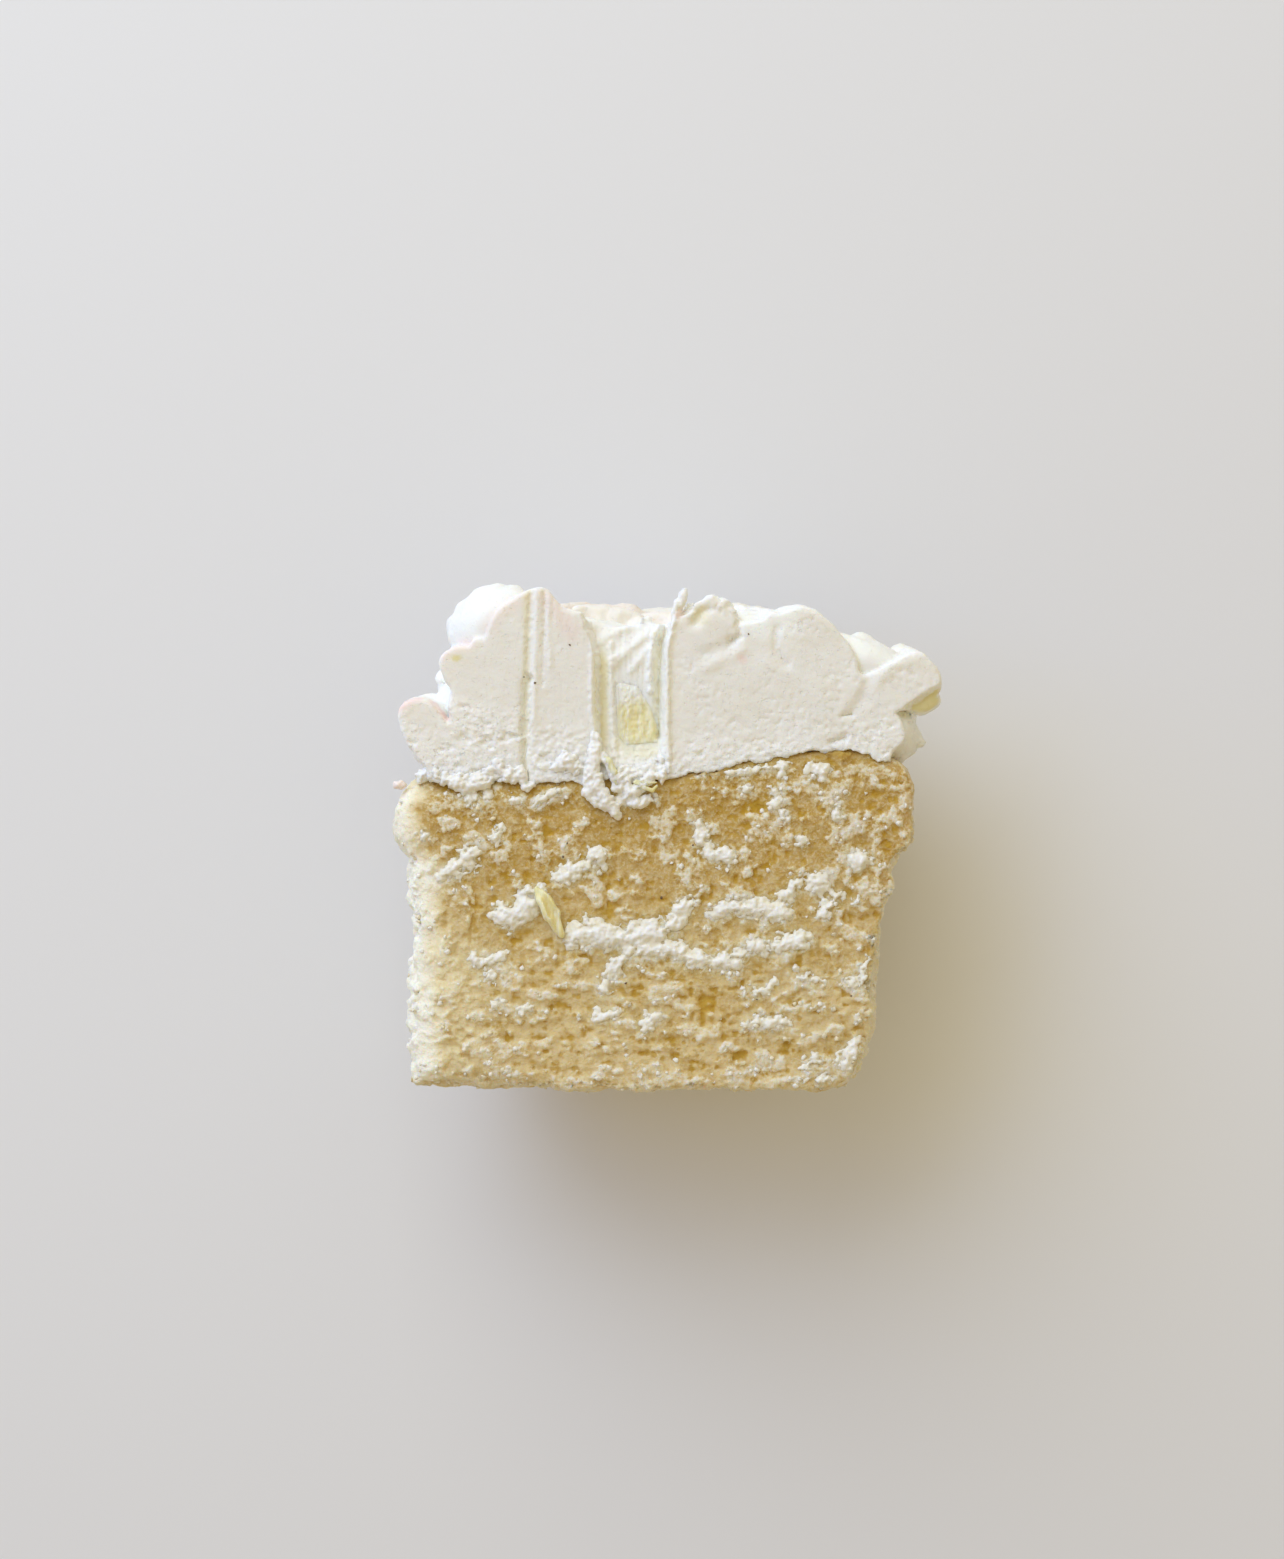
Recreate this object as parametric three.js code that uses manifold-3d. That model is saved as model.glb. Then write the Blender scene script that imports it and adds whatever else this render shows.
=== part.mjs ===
// Half of an unwrapped, iced cupcake. It was cut lengthwise and lies on its round back with the cut face up.
// Units are millimetres: +X runs across the cut face, +Y from the sponge's base towards the icing, +Z is up.
// The whole cupcake is shaped standing on its base, with Y as its axis. It is then laid on its side and sliced.

import * as THREE from "three";
import { mergeVertices } from "three/addons/utils/BufferGeometryUtils.js";
import Module from "manifold-3d";

// Driving dimensions
const BASE_RADIUS = 25.5; // sponge, just above its rounded base edge
const BASE_CORNER = 1.6; // height of that rounded edge
const RIM_RADIUS = 28.8; // browned rim where the sponge rose over its case
const RIM_HEIGHT = 29.5;
const PIECE_HEIGHT = 30.2; // from the table to the cut face
const FLAT_DEPTH = 0.7; // how far the soft back is pressed flat against the table
const WAIST_DEPTH = 0.8; // how far the two flanks draw in between base and rim
const LEAN = 0.06; // sideways lean of the risen sponge, per millimetre of height
const LEAN_HEIGHT = 34; // height above which the axis stands straight
const FIT_GAP = 0.35; // clearance between neighbouring pieces
const SLAB = 200; // larger than the cupcake in every direction

const TURN_STEPS = 56; // steps of a full turn
const SPONGE_STEPS = 36; // steps along the sponge's profile
const ICING_STEPS = 60; // steps along the icing's profile
const LYING_ANGLE = Math.atan((RIM_RADIUS - BASE_RADIUS) / (RIM_HEIGHT - BASE_CORNER));
const AXIS_RISE =
  BASE_RADIUS * Math.cos(LYING_ANGLE) - BASE_CORNER * Math.sin(LYING_ANGLE) - FLAT_DEPTH;

const wasm = await Module();
wasm.setup();

// Profiles are [radius, height] pairs from the axis at the bottom to the axis at the top.
// The right, back and left profiles of a piece have as many points, so that one can turn into the next.
const FOOT = [
  [0, 0],
  [12, 0],
  [BASE_RADIUS - 2, 0],
  [BASE_RADIUS - 0.4, 0.5],
  [BASE_RADIUS, BASE_CORNER],
];
const WALL = [
  ...FOOT,
  [BASE_RADIUS + 0.8, 9],
  [BASE_RADIUS + 1.4, 17],
  [BASE_RADIUS + 1.7, 23],
  [BASE_RADIUS + 1.7, 25], // the wall of the case ended here
  [RIM_RADIUS - 0.3, 26.8],
  [RIM_RADIUS, RIM_HEIGHT],
];
const BACK_WALL = [
  ...FOOT,
  [BASE_RADIUS + 0.9, 9],
  [BASE_RADIUS + 1.8, 17],
  [BASE_RADIUS + 2.4, 23],
  [BASE_RADIUS + 2.7, 25],
  [RIM_RADIUS - 0.3, 26.8],
  [RIM_RADIUS, RIM_HEIGHT],
];
const CROWN_CENTRE = [0, 34.2];
const CROWN_LEFT = [[28.5, 31.8], [27.2, 33.4], [24.6, 34.3], [20, 34.5], [12, 34.4], [5, 34.3], CROWN_CENTRE];
const CROWN_RIGHT = [[28.6, 32.6], [27.4, 35.2], [24.8, 36.6], [20, 37.4], [12, 36.7], [5, 35.2], CROWN_CENTRE];
const CROWN_BACK = [[28.5, 32.2], [27.3, 34.2], [24.7, 35.3], [20, 35.8], [12, 35.5], [5, 34.7], CROWN_CENTRE];
const SPONGE_LEFT = [...WALL, ...CROWN_LEFT];
const SPONGE_RIGHT = [...WALL, ...CROWN_RIGHT];
const SPONGE_BACK = [...BACK_WALL, ...CROWN_BACK];

const ICING_BOTTOM = 32.5; // hidden inside the sponge's crown, which is cut away from it
const ICING_LEFT = [
  [0, ICING_BOTTOM],
  [22, ICING_BOTTOM],
  [25.6, 35.6],
  [27.4, 38],
  [28.3, 41],
  [27.7, 42.6], // tip of the outer petal
  [26, 43.2],
  [24.4, 42.7],
  [22.9, 41], // notch
  [23.1, 43],
  [23.6, 44.6],
  [23.9, 46.4], // edge of the middle petal
  [23.3, 48],
  [21.6, 48.8], // notch
  [20.2, 49.6],
  [18.6, 51.2],
  [17.2, 53],
  [15.6, 54.6],
  [13.4, 55.6], // crest of the top petal
  [11.8, 55.1],
  [9.6, 52.9],
  [5.6, 52.2],
  [0, 52],
];
const ICING_RIGHT = [
  [0, ICING_BOTTOM],
  [23.4, ICING_BOTTOM],
  [26.2, 36.8],
  [27.4, 38],
  [27.6, 39.2],
  [27.3, 40.2],
  [27.1, 40.7],
  [26.9, 41],
  [26.7, 41.4], // notch
  [29, 41.7],
  [30.9, 42.8],
  [31.6, 44.6], // tip of the hooked petal
  [30.6, 46.9],
  [28.4, 47.9],
  [23, 45.6], // notch
  [22.3, 47.8],
  [20.9, 50.4],
  [18.7, 52.5],
  [16.8, 53.4], // crest of the top petal
  [14.9, 52.9],
  [10, 51.2],
  [5, 52.6],
  [0, 52],
];

const ICING_BACK = [
  [0, ICING_BOTTOM],
  [23, ICING_BOTTOM],
  [27, 36.6],
  [29.6, 38.4],
  [30.6, 40.4],
  [30.6, 42], // outer petal, pressed against the table
  [29.6, 43.2],
  [27.6, 43.4],
  [26.4, 42.8], // notch
  [27.6, 43.6],
  [28.8, 44.8],
  [28.6, 46.6], // middle petal
  [27, 48],
  [24.6, 48.6],
  [22.4, 48.2], // notch
  [21.8, 49.4],
  [20.6, 50.6],
  [18.6, 51.4],
  [15.8, 51.6], // top petal
  [13, 51.3],
  [10, 50.6],
  [5, 51.2],
  [0, 52],
];

// Each ring of petals notches the icing between its petals, over a stretch of the profile.
const PETAL_RINGS = [
  { petals: 12, first: 2, last: 8, depth: 2.6 },
  { petals: 10, first: 8, last: 14, depth: 2.8 },
  { petals: 8, first: 14, last: 20, depth: 3.0 },
];

// Petals that curve away behind the cut face: the place of each centre, its depth below the face, and radii.
const BACK_PETALS = [
  { x: -17.4, height: 50.7, depth: 5.6, radii: [5.4, 4.6, 5.2] },
  { x: 23.2, height: 47, depth: 5.8, radii: [4.2, 3.2, 5.4] },
  { x: 11.6, height: 49.7, depth: 5.6, radii: [6.4, 3.2, 5.2] },
  { x: 6, height: 51.6, depth: 3.8, radii: [2.8, 3, 3.4] },
  { x: 26.8, height: 38.4, depth: 6.4, radii: [2.6, 3, 5.6] },
];

// What the knife left, with heights along the standing cupcake and depths below the cut face.
const TROUGH = { x: -2.6, width: 7.4, depth: 2, bottom: 35, top: 56 };
const YELLOW_CORE = { x: -2, radius: 3, bottom: 37.4, top: 46.2, depth: 3.7 };
const TONGUE = { x: -5.4, width: 3, bottom: 30.4, top: 39.5, turn: 0.2, thickness: 1.8, depth: -0.3 };

const smooth = (t) => t * t * (3 - 2 * t);
const mix = (a, b, t) => a + (b - a) * t;

// A closed geometry as a manifold-3d solid.
function solidOf(geometry) {
  const bare = new THREE.BufferGeometry();
  bare.setAttribute("position", geometry.getAttribute("position").clone());
  bare.setIndex(geometry.getIndex());
  const merged = mergeVertices(bare, 1e-4);
  const corners = merged.getIndex().array;
  const kept = [];
  for (let i = 0; i < corners.length; i += 3) {
    const [a, b, c] = [corners[i], corners[i + 1], corners[i + 2]];
    if (a !== b && b !== c && c !== a) kept.push(a, b, c);
  }
  return new wasm.Manifold(
    new wasm.Mesh({
      numProp: 3,
      vertProperties: new Float32Array(merged.getAttribute("position").array),
      triVerts: new Uint32Array(kept),
    }),
  );
}

// A manifold-3d solid as a geometry that three.js can draw.
function geometryOf(solid) {
  const { numProp, numVert, vertProperties, triVerts } = solid.getMesh();
  const position = new Float32Array(numVert * 3);
  for (let i = 0; i < numVert; i++) {
    position.set(vertProperties.subarray(i * numProp, i * numProp + 3), i * 3);
  }
  const geometry = new THREE.BufferGeometry();
  geometry.setAttribute("position", new THREE.BufferAttribute(position, 3));
  geometry.setIndex(new THREE.BufferAttribute(new Uint32Array(triVerts), 1));
  geometry.computeVertexNormals();
  return geometry;
}

// A smooth run of points through a profile, evenly spread over its points.
function smoothProfile(points, steps) {
  const curve = new THREE.SplineCurve(points.map(([r, h]) => new THREE.Vector2(r, h)));
  const run = curve.getPoints(steps);
  run.forEach((p) => (p.x = Math.max(p.x, 0)));
  run[0].x = 0;
  run[steps].x = 0;
  return run;
}

// A body of revolution whose profile turns from the right one through the back one into the left one.
// The side profiles hold near the cut face, and the back one takes over below it.
// shape(radius, turn, height, along) may change a radius: turn is 0 at the right and pi at the left,
// and along runs from 0 to 1 over the profile.
function turnedBody([right, back, left], steps, shape) {
  const backRun = smoothProfile(back, steps);
  const sides = [smoothProfile(left, steps), smoothProfile(right, steps)];
  const geometry = new THREE.LatheGeometry(backRun, TURN_STEPS);
  const position = geometry.getAttribute("position");
  for (let i = 0; i <= TURN_STEPS; i++) {
    const turn = (i / TURN_STEPS) * 2 * Math.PI;
    const across = Math.sin(turn);
    const side = sides[across > 0 ? 1 : 0];
    const sideShare = smooth(Math.max(2 * Math.abs(across) - 1, 0));
    for (let j = 0; j <= steps; j++) {
      const plain = mix(backRun[j].x, side[j].x, sideShare);
      const height = mix(backRun[j].y, side[j].y, sideShare);
      const radius = plain > 0 ? shape(plain, turn - Math.PI / 2, height, j / steps) : 0;
      position.setXYZ(i * (steps + 1) + j, radius * across, height, radius * Math.cos(turn));
    }
  }
  return geometry;
}

// Leans a standing piece below the icing, lays it on its back and brings the back to the table.
function layDown(geometry) {
  const position = geometry.getAttribute("position");
  for (let i = 0; i < position.count; i++) {
    position.setX(i, position.getX(i) + LEAN * Math.min(position.getY(i) - LEAN_HEIGHT, 0));
  }
  geometry.rotateX(LYING_ANGLE);
  geometry.translate(0, 0, AXIS_RISE);
  return geometry;
}

// The slab between the table and the cut face.
function slab() {
  const box = new THREE.BoxGeometry(SLAB, SLAB, PIECE_HEIGHT);
  return solidOf(box.translate(0, 0, PIECE_HEIGHT / 2));
}

// The sponge's radius, its two flanks drawn in between base and rim.
function spongeRadius(radius, turn, height) {
  if (height > RIM_HEIGHT) return radius;
  const waist = WAIST_DEPTH * Math.sin((Math.PI * height) / RIM_HEIGHT) ** 2;
  return radius - waist * Math.cos(turn) ** 2;
}

// The icing's radius, drawn in where two petals of a ring meet.
function icingRadius(radius, turn, height, along) {
  const place = along * (ICING_LEFT.length - 1);
  let drawnIn = 0;
  for (const ring of PETAL_RINGS) {
    if (place <= ring.first || place >= ring.last) continue;
    const share = Math.sin((Math.PI * (place - ring.first)) / (ring.last - ring.first));
    const between = 1 - Math.abs(Math.cos((ring.petals / 2) * turn));
    drawnIn += ring.depth * share * between ** 2;
  }
  return radius - drawnIn;
}

// An ellipsoid petal, placed under the cut face.
function backPetal({ x, height, depth, radii }) {
  const petal = new THREE.SphereGeometry(1, 16, 12).scale(...radii);
  return solidOf(petal.translate(x, height, PIECE_HEIGHT - depth));
}

// The trough that the knife dragged along the icing's cut face.
function trough() {
  const radius = (TROUGH.width ** 2 / 4 + TROUGH.depth ** 2) / (2 * TROUGH.depth);
  const length = TROUGH.top - TROUGH.bottom;
  const rod = new THREE.CylinderGeometry(radius, radius, length, 48);
  return solidOf(
    rod.translate(TROUGH.x, TROUGH.bottom + length / 2, PIECE_HEIGHT - TROUGH.depth + radius),
  );
}

// The pale yellow core, made larger by grow on every side.
function yellowCore(grow) {
  const { x, radius, bottom, top, depth } = YELLOW_CORE;
  const length = top - bottom - 2 * radius;
  const plug = new THREE.CapsuleGeometry(radius + grow, length, 5, 16);
  return solidOf(plug.translate(x, (bottom + top) / 2, PIECE_HEIGHT - depth));
}

// A tongue of icing that lies on the sponge's cut face.
function tongue() {
  const { x, width, bottom, top, turn, thickness, depth } = TONGUE;
  const drop = new THREE.SphereGeometry(1, 12, 8);
  drop.scale(width / 2, (top - bottom) / 2, thickness / 2).rotateZ(turn);
  return solidOf(drop.translate(x, (top + bottom) / 2, PIECE_HEIGHT - depth));
}

function piece(name, solid, color, roughness) {
  const material = new THREE.MeshStandardMaterial({ color, roughness, metalness: 0 });
  const mesh = new THREE.Mesh(geometryOf(solid), material);
  mesh.name = name;
  return mesh;
}

const between = slab();
const spongeProfiles = [SPONGE_RIGHT, SPONGE_BACK, SPONGE_LEFT];
const wholeSponge = solidOf(layDown(turnedBody(spongeProfiles, SPONGE_STEPS, spongeRadius)));
const sponge = wholeSponge.intersect(between);

const icingProfiles = [ICING_RIGHT, ICING_BACK, ICING_LEFT];
let wholeIcing = solidOf(layDown(turnedBody(icingProfiles, ICING_STEPS, icingRadius)));
for (const petal of BACK_PETALS) wholeIcing = wholeIcing.add(backPetal(petal));

const cutSponge = sponge.translate([0, 0, FIT_GAP]);
const raisedSponge = wholeSponge.translate([0, FIT_GAP, 0]).intersect(between);
const icingBody = wholeIcing.intersect(between).subtract(trough()).add(tongue());
const fittedIcing = icingBody.subtract(raisedSponge).subtract(cutSponge);
const core = yellowCore(0).intersect(between).subtract(trough()).intersect(fittedIcing);
const icing = fittedIcing.subtract(yellowCore(FIT_GAP));

const cupcake = new THREE.Group();
cupcake.add(piece("sponge", sponge, 0xd9c184, 0.9));
cupcake.add(piece("buttercream", icing, 0xf4efe2, 0.6));
cupcake.add(piece("yellow_core", core, 0xe9dfa6, 0.6));

// The origin is the middle of the bounding box's foot.
const box = new THREE.Box3().setFromObject(cupcake);
const middle = box.getCenter(new THREE.Vector3());
cupcake.position.set(-middle.x, -middle.y, -box.min.z);

export default cupcake;
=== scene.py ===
"""Half of an unwrapped, iced cupcake that lies on its round back with the cut face up.

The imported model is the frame: a sponge, its buttercream and the buttercream's yellow core. This script
gives them their looks: open crumb, ruffled petals, the knife's marks, smears, crumbs and specks.

Sizes are millimetres in the cake's own frame, whose origin is the middle of the sponge's base edge on the
cut face's axis: x runs across the cut face, y along it from the base to the icing, and z up out of it.
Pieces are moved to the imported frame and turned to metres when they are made. Arrays of places hold one
a row, and every distance to a solid is negative inside it.
"""

from __future__ import annotations

import logging
import math
from collections.abc import Callable, Sequence
from concurrent.futures import ThreadPoolExecutor
from dataclasses import dataclass
from enum import Enum

import bmesh
import bpy
import numpy as np
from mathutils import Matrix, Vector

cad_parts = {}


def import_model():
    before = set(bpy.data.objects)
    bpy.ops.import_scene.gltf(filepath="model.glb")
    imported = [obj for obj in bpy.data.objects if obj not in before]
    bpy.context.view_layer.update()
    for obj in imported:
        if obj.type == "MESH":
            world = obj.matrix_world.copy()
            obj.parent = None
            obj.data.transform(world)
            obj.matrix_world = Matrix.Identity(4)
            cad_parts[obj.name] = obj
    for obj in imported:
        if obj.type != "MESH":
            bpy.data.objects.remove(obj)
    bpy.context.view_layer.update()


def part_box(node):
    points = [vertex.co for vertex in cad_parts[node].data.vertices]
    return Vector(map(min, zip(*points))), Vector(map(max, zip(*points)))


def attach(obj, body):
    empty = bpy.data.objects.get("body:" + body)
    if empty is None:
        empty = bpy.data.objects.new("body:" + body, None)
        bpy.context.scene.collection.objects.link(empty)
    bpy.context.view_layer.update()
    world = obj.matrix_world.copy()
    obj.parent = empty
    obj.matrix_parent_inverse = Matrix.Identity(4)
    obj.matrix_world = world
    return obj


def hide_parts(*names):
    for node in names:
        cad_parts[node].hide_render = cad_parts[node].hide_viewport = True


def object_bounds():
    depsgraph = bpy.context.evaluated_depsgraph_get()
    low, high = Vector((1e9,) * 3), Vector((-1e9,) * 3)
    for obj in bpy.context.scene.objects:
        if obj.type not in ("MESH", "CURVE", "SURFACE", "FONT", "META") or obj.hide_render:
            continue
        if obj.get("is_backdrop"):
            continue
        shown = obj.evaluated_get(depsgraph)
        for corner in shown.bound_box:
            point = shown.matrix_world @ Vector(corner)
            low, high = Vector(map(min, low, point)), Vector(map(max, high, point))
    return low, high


Array = np.ndarray
Socket = bpy.types.NodeSocket
Thing = bpy.types.Object
Material = bpy.types.Material
Field = Callable[[Array], Array]
Point = tuple[float, float]

LOG = logging.getLogger("cupcake")
MILLIMETRE = 0.001
BODY = "root"


def ease(start: float | Array, end: float | Array, value: Array) -> Array:
    """Eases from 0 where the value is at start to 1 at end, which may be below start."""
    share = np.clip((value - start) / (end - start), 0.0, 1.0)
    return share * share * (3.0 - 2.0 * share)


def mix(first: float | Array, second: float | Array, share: float | Array) -> Array:
    """Goes in a straight line from first, at share 0, to second, at share 1."""
    return first + (second - first) * share


def smooth_max(first: Array, second: Array, width: float | Array) -> Array:
    """Cuts one solid by another, with a rounded edge of that width."""
    near = np.maximum(width - np.abs(first - second), 0.0) / width
    return np.maximum(first, second) + near * near * width * 0.25


def smooth_min(first: Array, second: Array, width: float | Array) -> Array:
    """Joins two solids, with a fillet of that width."""
    return -smooth_max(-first, -second, width)


def spread(work: Field, places: Array, share: int = 40000) -> Array:
    """Spreads the work on many places over the processor's cores.

    Args:
        work: Gives one result a place.
        places: The places.
        share: How many places one core takes at a time.

    Returns:
        The results, in the places' order.
    """
    if len(places) <= share:
        return work(places)
    parts = np.array_split(places, math.ceil(len(places) / share))
    with ThreadPoolExecutor(4) as cores:
        return np.concatenate(list(cores.map(work, parts)))


def placed(name: str, data: bpy.types.ID) -> Thing:
    """Makes an object of some data and puts it in the scene.

    Args:
        name: The object's name.
        data: Its mesh, light or camera.

    Returns:
        The object.
    """
    made = bpy.data.objects.new(name, data)
    bpy.context.scene.collection.objects.link(made)
    return made


def baked(carrier: Thing) -> bpy.types.Mesh:
    """Makes a mesh of what an object's modifiers give."""
    view = bpy.context.evaluated_depsgraph_get()
    return bpy.data.meshes.new_from_object(carrier.evaluated_get(view), depsgraph=view)


class Noise:
    """Smooth gradient noise in three dimensions, the same at each run."""

    TABLE = 256
    REACH = 1.6  # brings the raw noise to about -1 to 1

    def __init__(self, seed: int) -> None:
        """Draws the table of gradients.

        Args:
            seed: The fixed seed of the draw.
        """
        draw = np.random.default_rng(seed)
        self.order = np.tile(draw.permutation(self.TABLE), 3)
        arrows = draw.normal(size=(self.TABLE, 3))
        self.arrows = arrows / np.linalg.norm(arrows, axis=1, keepdims=True)

    def at(self, places: Array) -> Array:
        """Reads the noise.

        Args:
            places: The places, in cells of the noise.

        Returns:
            One value a place, from about -1 to 1.
        """
        cell = np.floor(places).astype(np.int64)
        part = places - cell
        cell &= self.TABLE - 1
        eased = part * part * part * (part * (part * 6.0 - 15.0) + 10.0)
        total = np.zeros(len(places))
        for corner in np.ndindex(2, 2, 2):
            step = np.array(corner)
            node = cell + step
            slot = self.order[self.order[self.order[node[:, 0]] + node[:, 1]] + node[:, 2]]
            slope = np.einsum("ij,ij->i", part - step, self.arrows[slot])
            share = np.where(step == 1, eased, 1.0 - eased).prod(axis=1)
            total += slope * share
        return total * self.REACH

    def layered(self, places: Array, octaves: int = 3, gain: float = 0.5) -> Array:
        """Adds finer and weaker octaves of the noise.

        Args:
            places: The places, in cells of the coarsest octave.
            octaves: How many there are.
            gain: The strength of each octave next to the one before it.

        Returns:
            One value a place, from about -1 to 1.
        """
        total = np.zeros(len(places))
        weight, weights = 1.0, 0.0
        for _ in range(octaves):
            total += weight * self.at(places)
            weights += weight
            places = places * 2.03 + 17.31
            weight *= gain
        return total / weights


def spline(points: Sequence[float], steps: int = 8) -> Array:
    """Draws a smooth run through points.

    Args:
        points: The two sizes of each point that the run goes through.
        steps: How many pieces there are between two points.

    Returns:
        The points of the run, one a row.
    """
    given = np.reshape(points, (-1, 2)).astype(float)
    padded = np.vstack([2 * given[0] - given[1], given, 2 * given[-1] - given[-2]])
    share = np.arange(steps)[:, None] / steps
    run = []
    for before, start, end, after in zip(padded, padded[1:], padded[2:], padded[3:]):
        bend = 2 * before - 5 * start + 4 * end - after
        twist = 3 * start - before - 3 * end + after
        run.append(start + 0.5 * share * (end - before + share * (bend + share * twist)))
    return np.vstack([*run, given[-1:]])


def line_distance(line: Array, places: Array) -> Array:
    """Measures how far places are from a line of straight pieces.

    Args:
        line: The line's points.
        places: The places.

    Returns:
        One distance a place.
    """
    if len(line) == 1:
        return np.linalg.norm(places - line[0], axis=1)
    nearest = np.full(len(places), np.inf)
    for start, end in zip(line, line[1:]):
        run = end - start
        share = np.clip(((places - start) @ run) / max(run @ run, 1e-9), 0.0, 1.0)
        gap = places - start - share[:, None] * run
        np.minimum(nearest, np.einsum("ij,ij->i", gap, gap), out=nearest)
    return np.sqrt(nearest)


class Outline:
    """A closed outline of radius and height that is turned about the cake's axis."""

    STEP = 0.25
    LOW = (-1.0, -6.0)
    HIGH = (38.0, 62.0)

    def __init__(self, points: Sequence[float]) -> None:
        """Tabulates the distances round the outline.

        Args:
            points: Pairs of radius and height, from the axis at the bottom to the axis at the top.
        """
        run = spline(points)
        run[:, 0] = np.maximum(run[:, 0], 0.0)
        ring = np.vstack([run, run[::-1] * (-1.0, 1.0)])
        radii = np.arange(self.LOW[0], self.HIGH[0] + self.STEP, self.STEP)
        heights = np.arange(self.LOW[1], self.HIGH[1] + self.STEP, self.STEP)
        places = np.stack(np.meshgrid(radii, heights, indexing="ij"), axis=-1).reshape(-1, 2)
        distance = line_distance(ring, places)
        self.table = np.where(self.holds(ring, places), -distance, distance).reshape(len(radii), -1)

    @staticmethod
    def holds(ring: Array, places: Array) -> Array:
        """Tells which places lie inside a ring, by counting its crossings.

        Args:
            ring: The ring's points.
            places: The places.

        Returns:
            True for each place inside.
        """
        x, y = places.T
        inside = np.zeros(len(places), bool)
        for start, end in zip(ring, np.roll(ring, -1, axis=0)):
            spans = (start[1] > y) != (end[1] > y)
            rise = end[1] - start[1] if end[1] != start[1] else 1.0
            crossing = start[0] + (y - start[1]) * (end[0] - start[0]) / rise
            inside ^= spans & (x < crossing)
        return inside

    def distance(self, radius: Array, height: Array) -> Array:
        """Reads the distance to the outline at pairs of radius and height."""
        return bilinear(self.table, self.LOW, self.STEP, radius, height)


def plan_distance(points: Sequence[Point], places: Array, far: float) -> Array:
    """Measures the distance to a closed flat outline.

    Args:
        points: The outline's corners.
        places: The places.
        far: The distance of all places that are farther off than this.

    Returns:
        One distance a place.
    """
    ring = np.array([*points, points[0]], float)
    distance = np.full(len(places), far)
    inner, outer = ring.min(axis=0) - far, ring.max(axis=0) + far
    near = np.flatnonzero(((places > inner) & (places < outer)).all(axis=1))
    away = line_distance(ring, places[near])
    distance[near] = np.where(Outline.holds(ring, places[near]), -away, np.minimum(away, far))
    return distance


def bilinear(table: Array, low: Point, step: float, first: Array, second: Array) -> Array:
    """Reads a table between its places, and holds it at its edges.

    Args:
        table: One value for each place of a square grid.
        low: The grid's lowest place.
        step: The grid's spacing.
        first: Places along the first axis.
        second: Places along the second axis.

    Returns:
        One value for each pair.
    """
    column = np.clip((first - low[0]) / step, 0.0, table.shape[0] - 1.001)
    row = np.clip((second - low[1]) / step, 0.0, table.shape[1] - 1.001)
    i, j = column.astype(int), row.astype(int)
    a, b = column - i, row - j
    lower = mix(table[i, j], table[i + 1, j], a)
    upper = mix(table[i, j + 1], table[i + 1, j + 1], a)
    return mix(lower, upper, b)


@dataclass(frozen=True)
class Standing:
    """Places in the frame of the whole cupcake, standing on its base."""

    radius: Array
    height: Array
    turn: Array  # 0 at the right flank, half pi at the back, pi at the left flank
    side: Array  # 1 at the right flank, 0 at the back, -1 at the left flank


@dataclass(frozen=True)
class Lie:
    """How the cupcake leans, lies on its back and was cut."""

    base_radius: float = 25.5
    base_corner: float = 1.6
    rim_radius: float = 28.8
    rim_height: float = 29.5
    flat_depth: float = 0.7
    lean: float = 0.06
    lean_height: float = 34.0
    cut: float = 30.2  # height of the cut face above the table
    core_centre: Point = (-2.0, 41.8)  # of the yellow core, whose box gives the frame's place

    @property
    def angle(self) -> float:
        """The angle between the axis and the table, in radians."""
        return math.atan((self.rim_radius - self.base_radius) / (self.rim_height - self.base_corner))

    @property
    def rise(self) -> float:
        """The height of the base's centre above the table."""
        reach = self.base_radius * math.cos(self.angle) - self.base_corner * math.sin(self.angle)
        return reach - self.flat_depth

    def origin(self) -> Array:
        """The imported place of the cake's origin."""
        low, high = (np.array(corner[:2]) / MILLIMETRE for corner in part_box("yellow_core"))
        return np.append((low + high) / 2 - self.core_centre, 0.0)

    def standing(self, places: Array) -> Standing:
        """Undoes the lie and the lean.

        Args:
            places: Places of the cake.

        Returns:
            The same places in the standing cupcake's frame.
        """
        x, y, z = places.T
        up = z - self.rise
        height = y * math.cos(self.angle) + up * math.sin(self.angle)
        out = up * math.cos(self.angle) - y * math.sin(self.angle)
        across = x - self.lean * np.minimum(height - self.lean_height, 0.0)
        radius = np.hypot(across, out)
        turn = np.mod(np.arctan2(across, out), 2 * math.pi) - math.pi / 2
        return Standing(radius, height, turn, across / np.maximum(radius, 1e-6))


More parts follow.
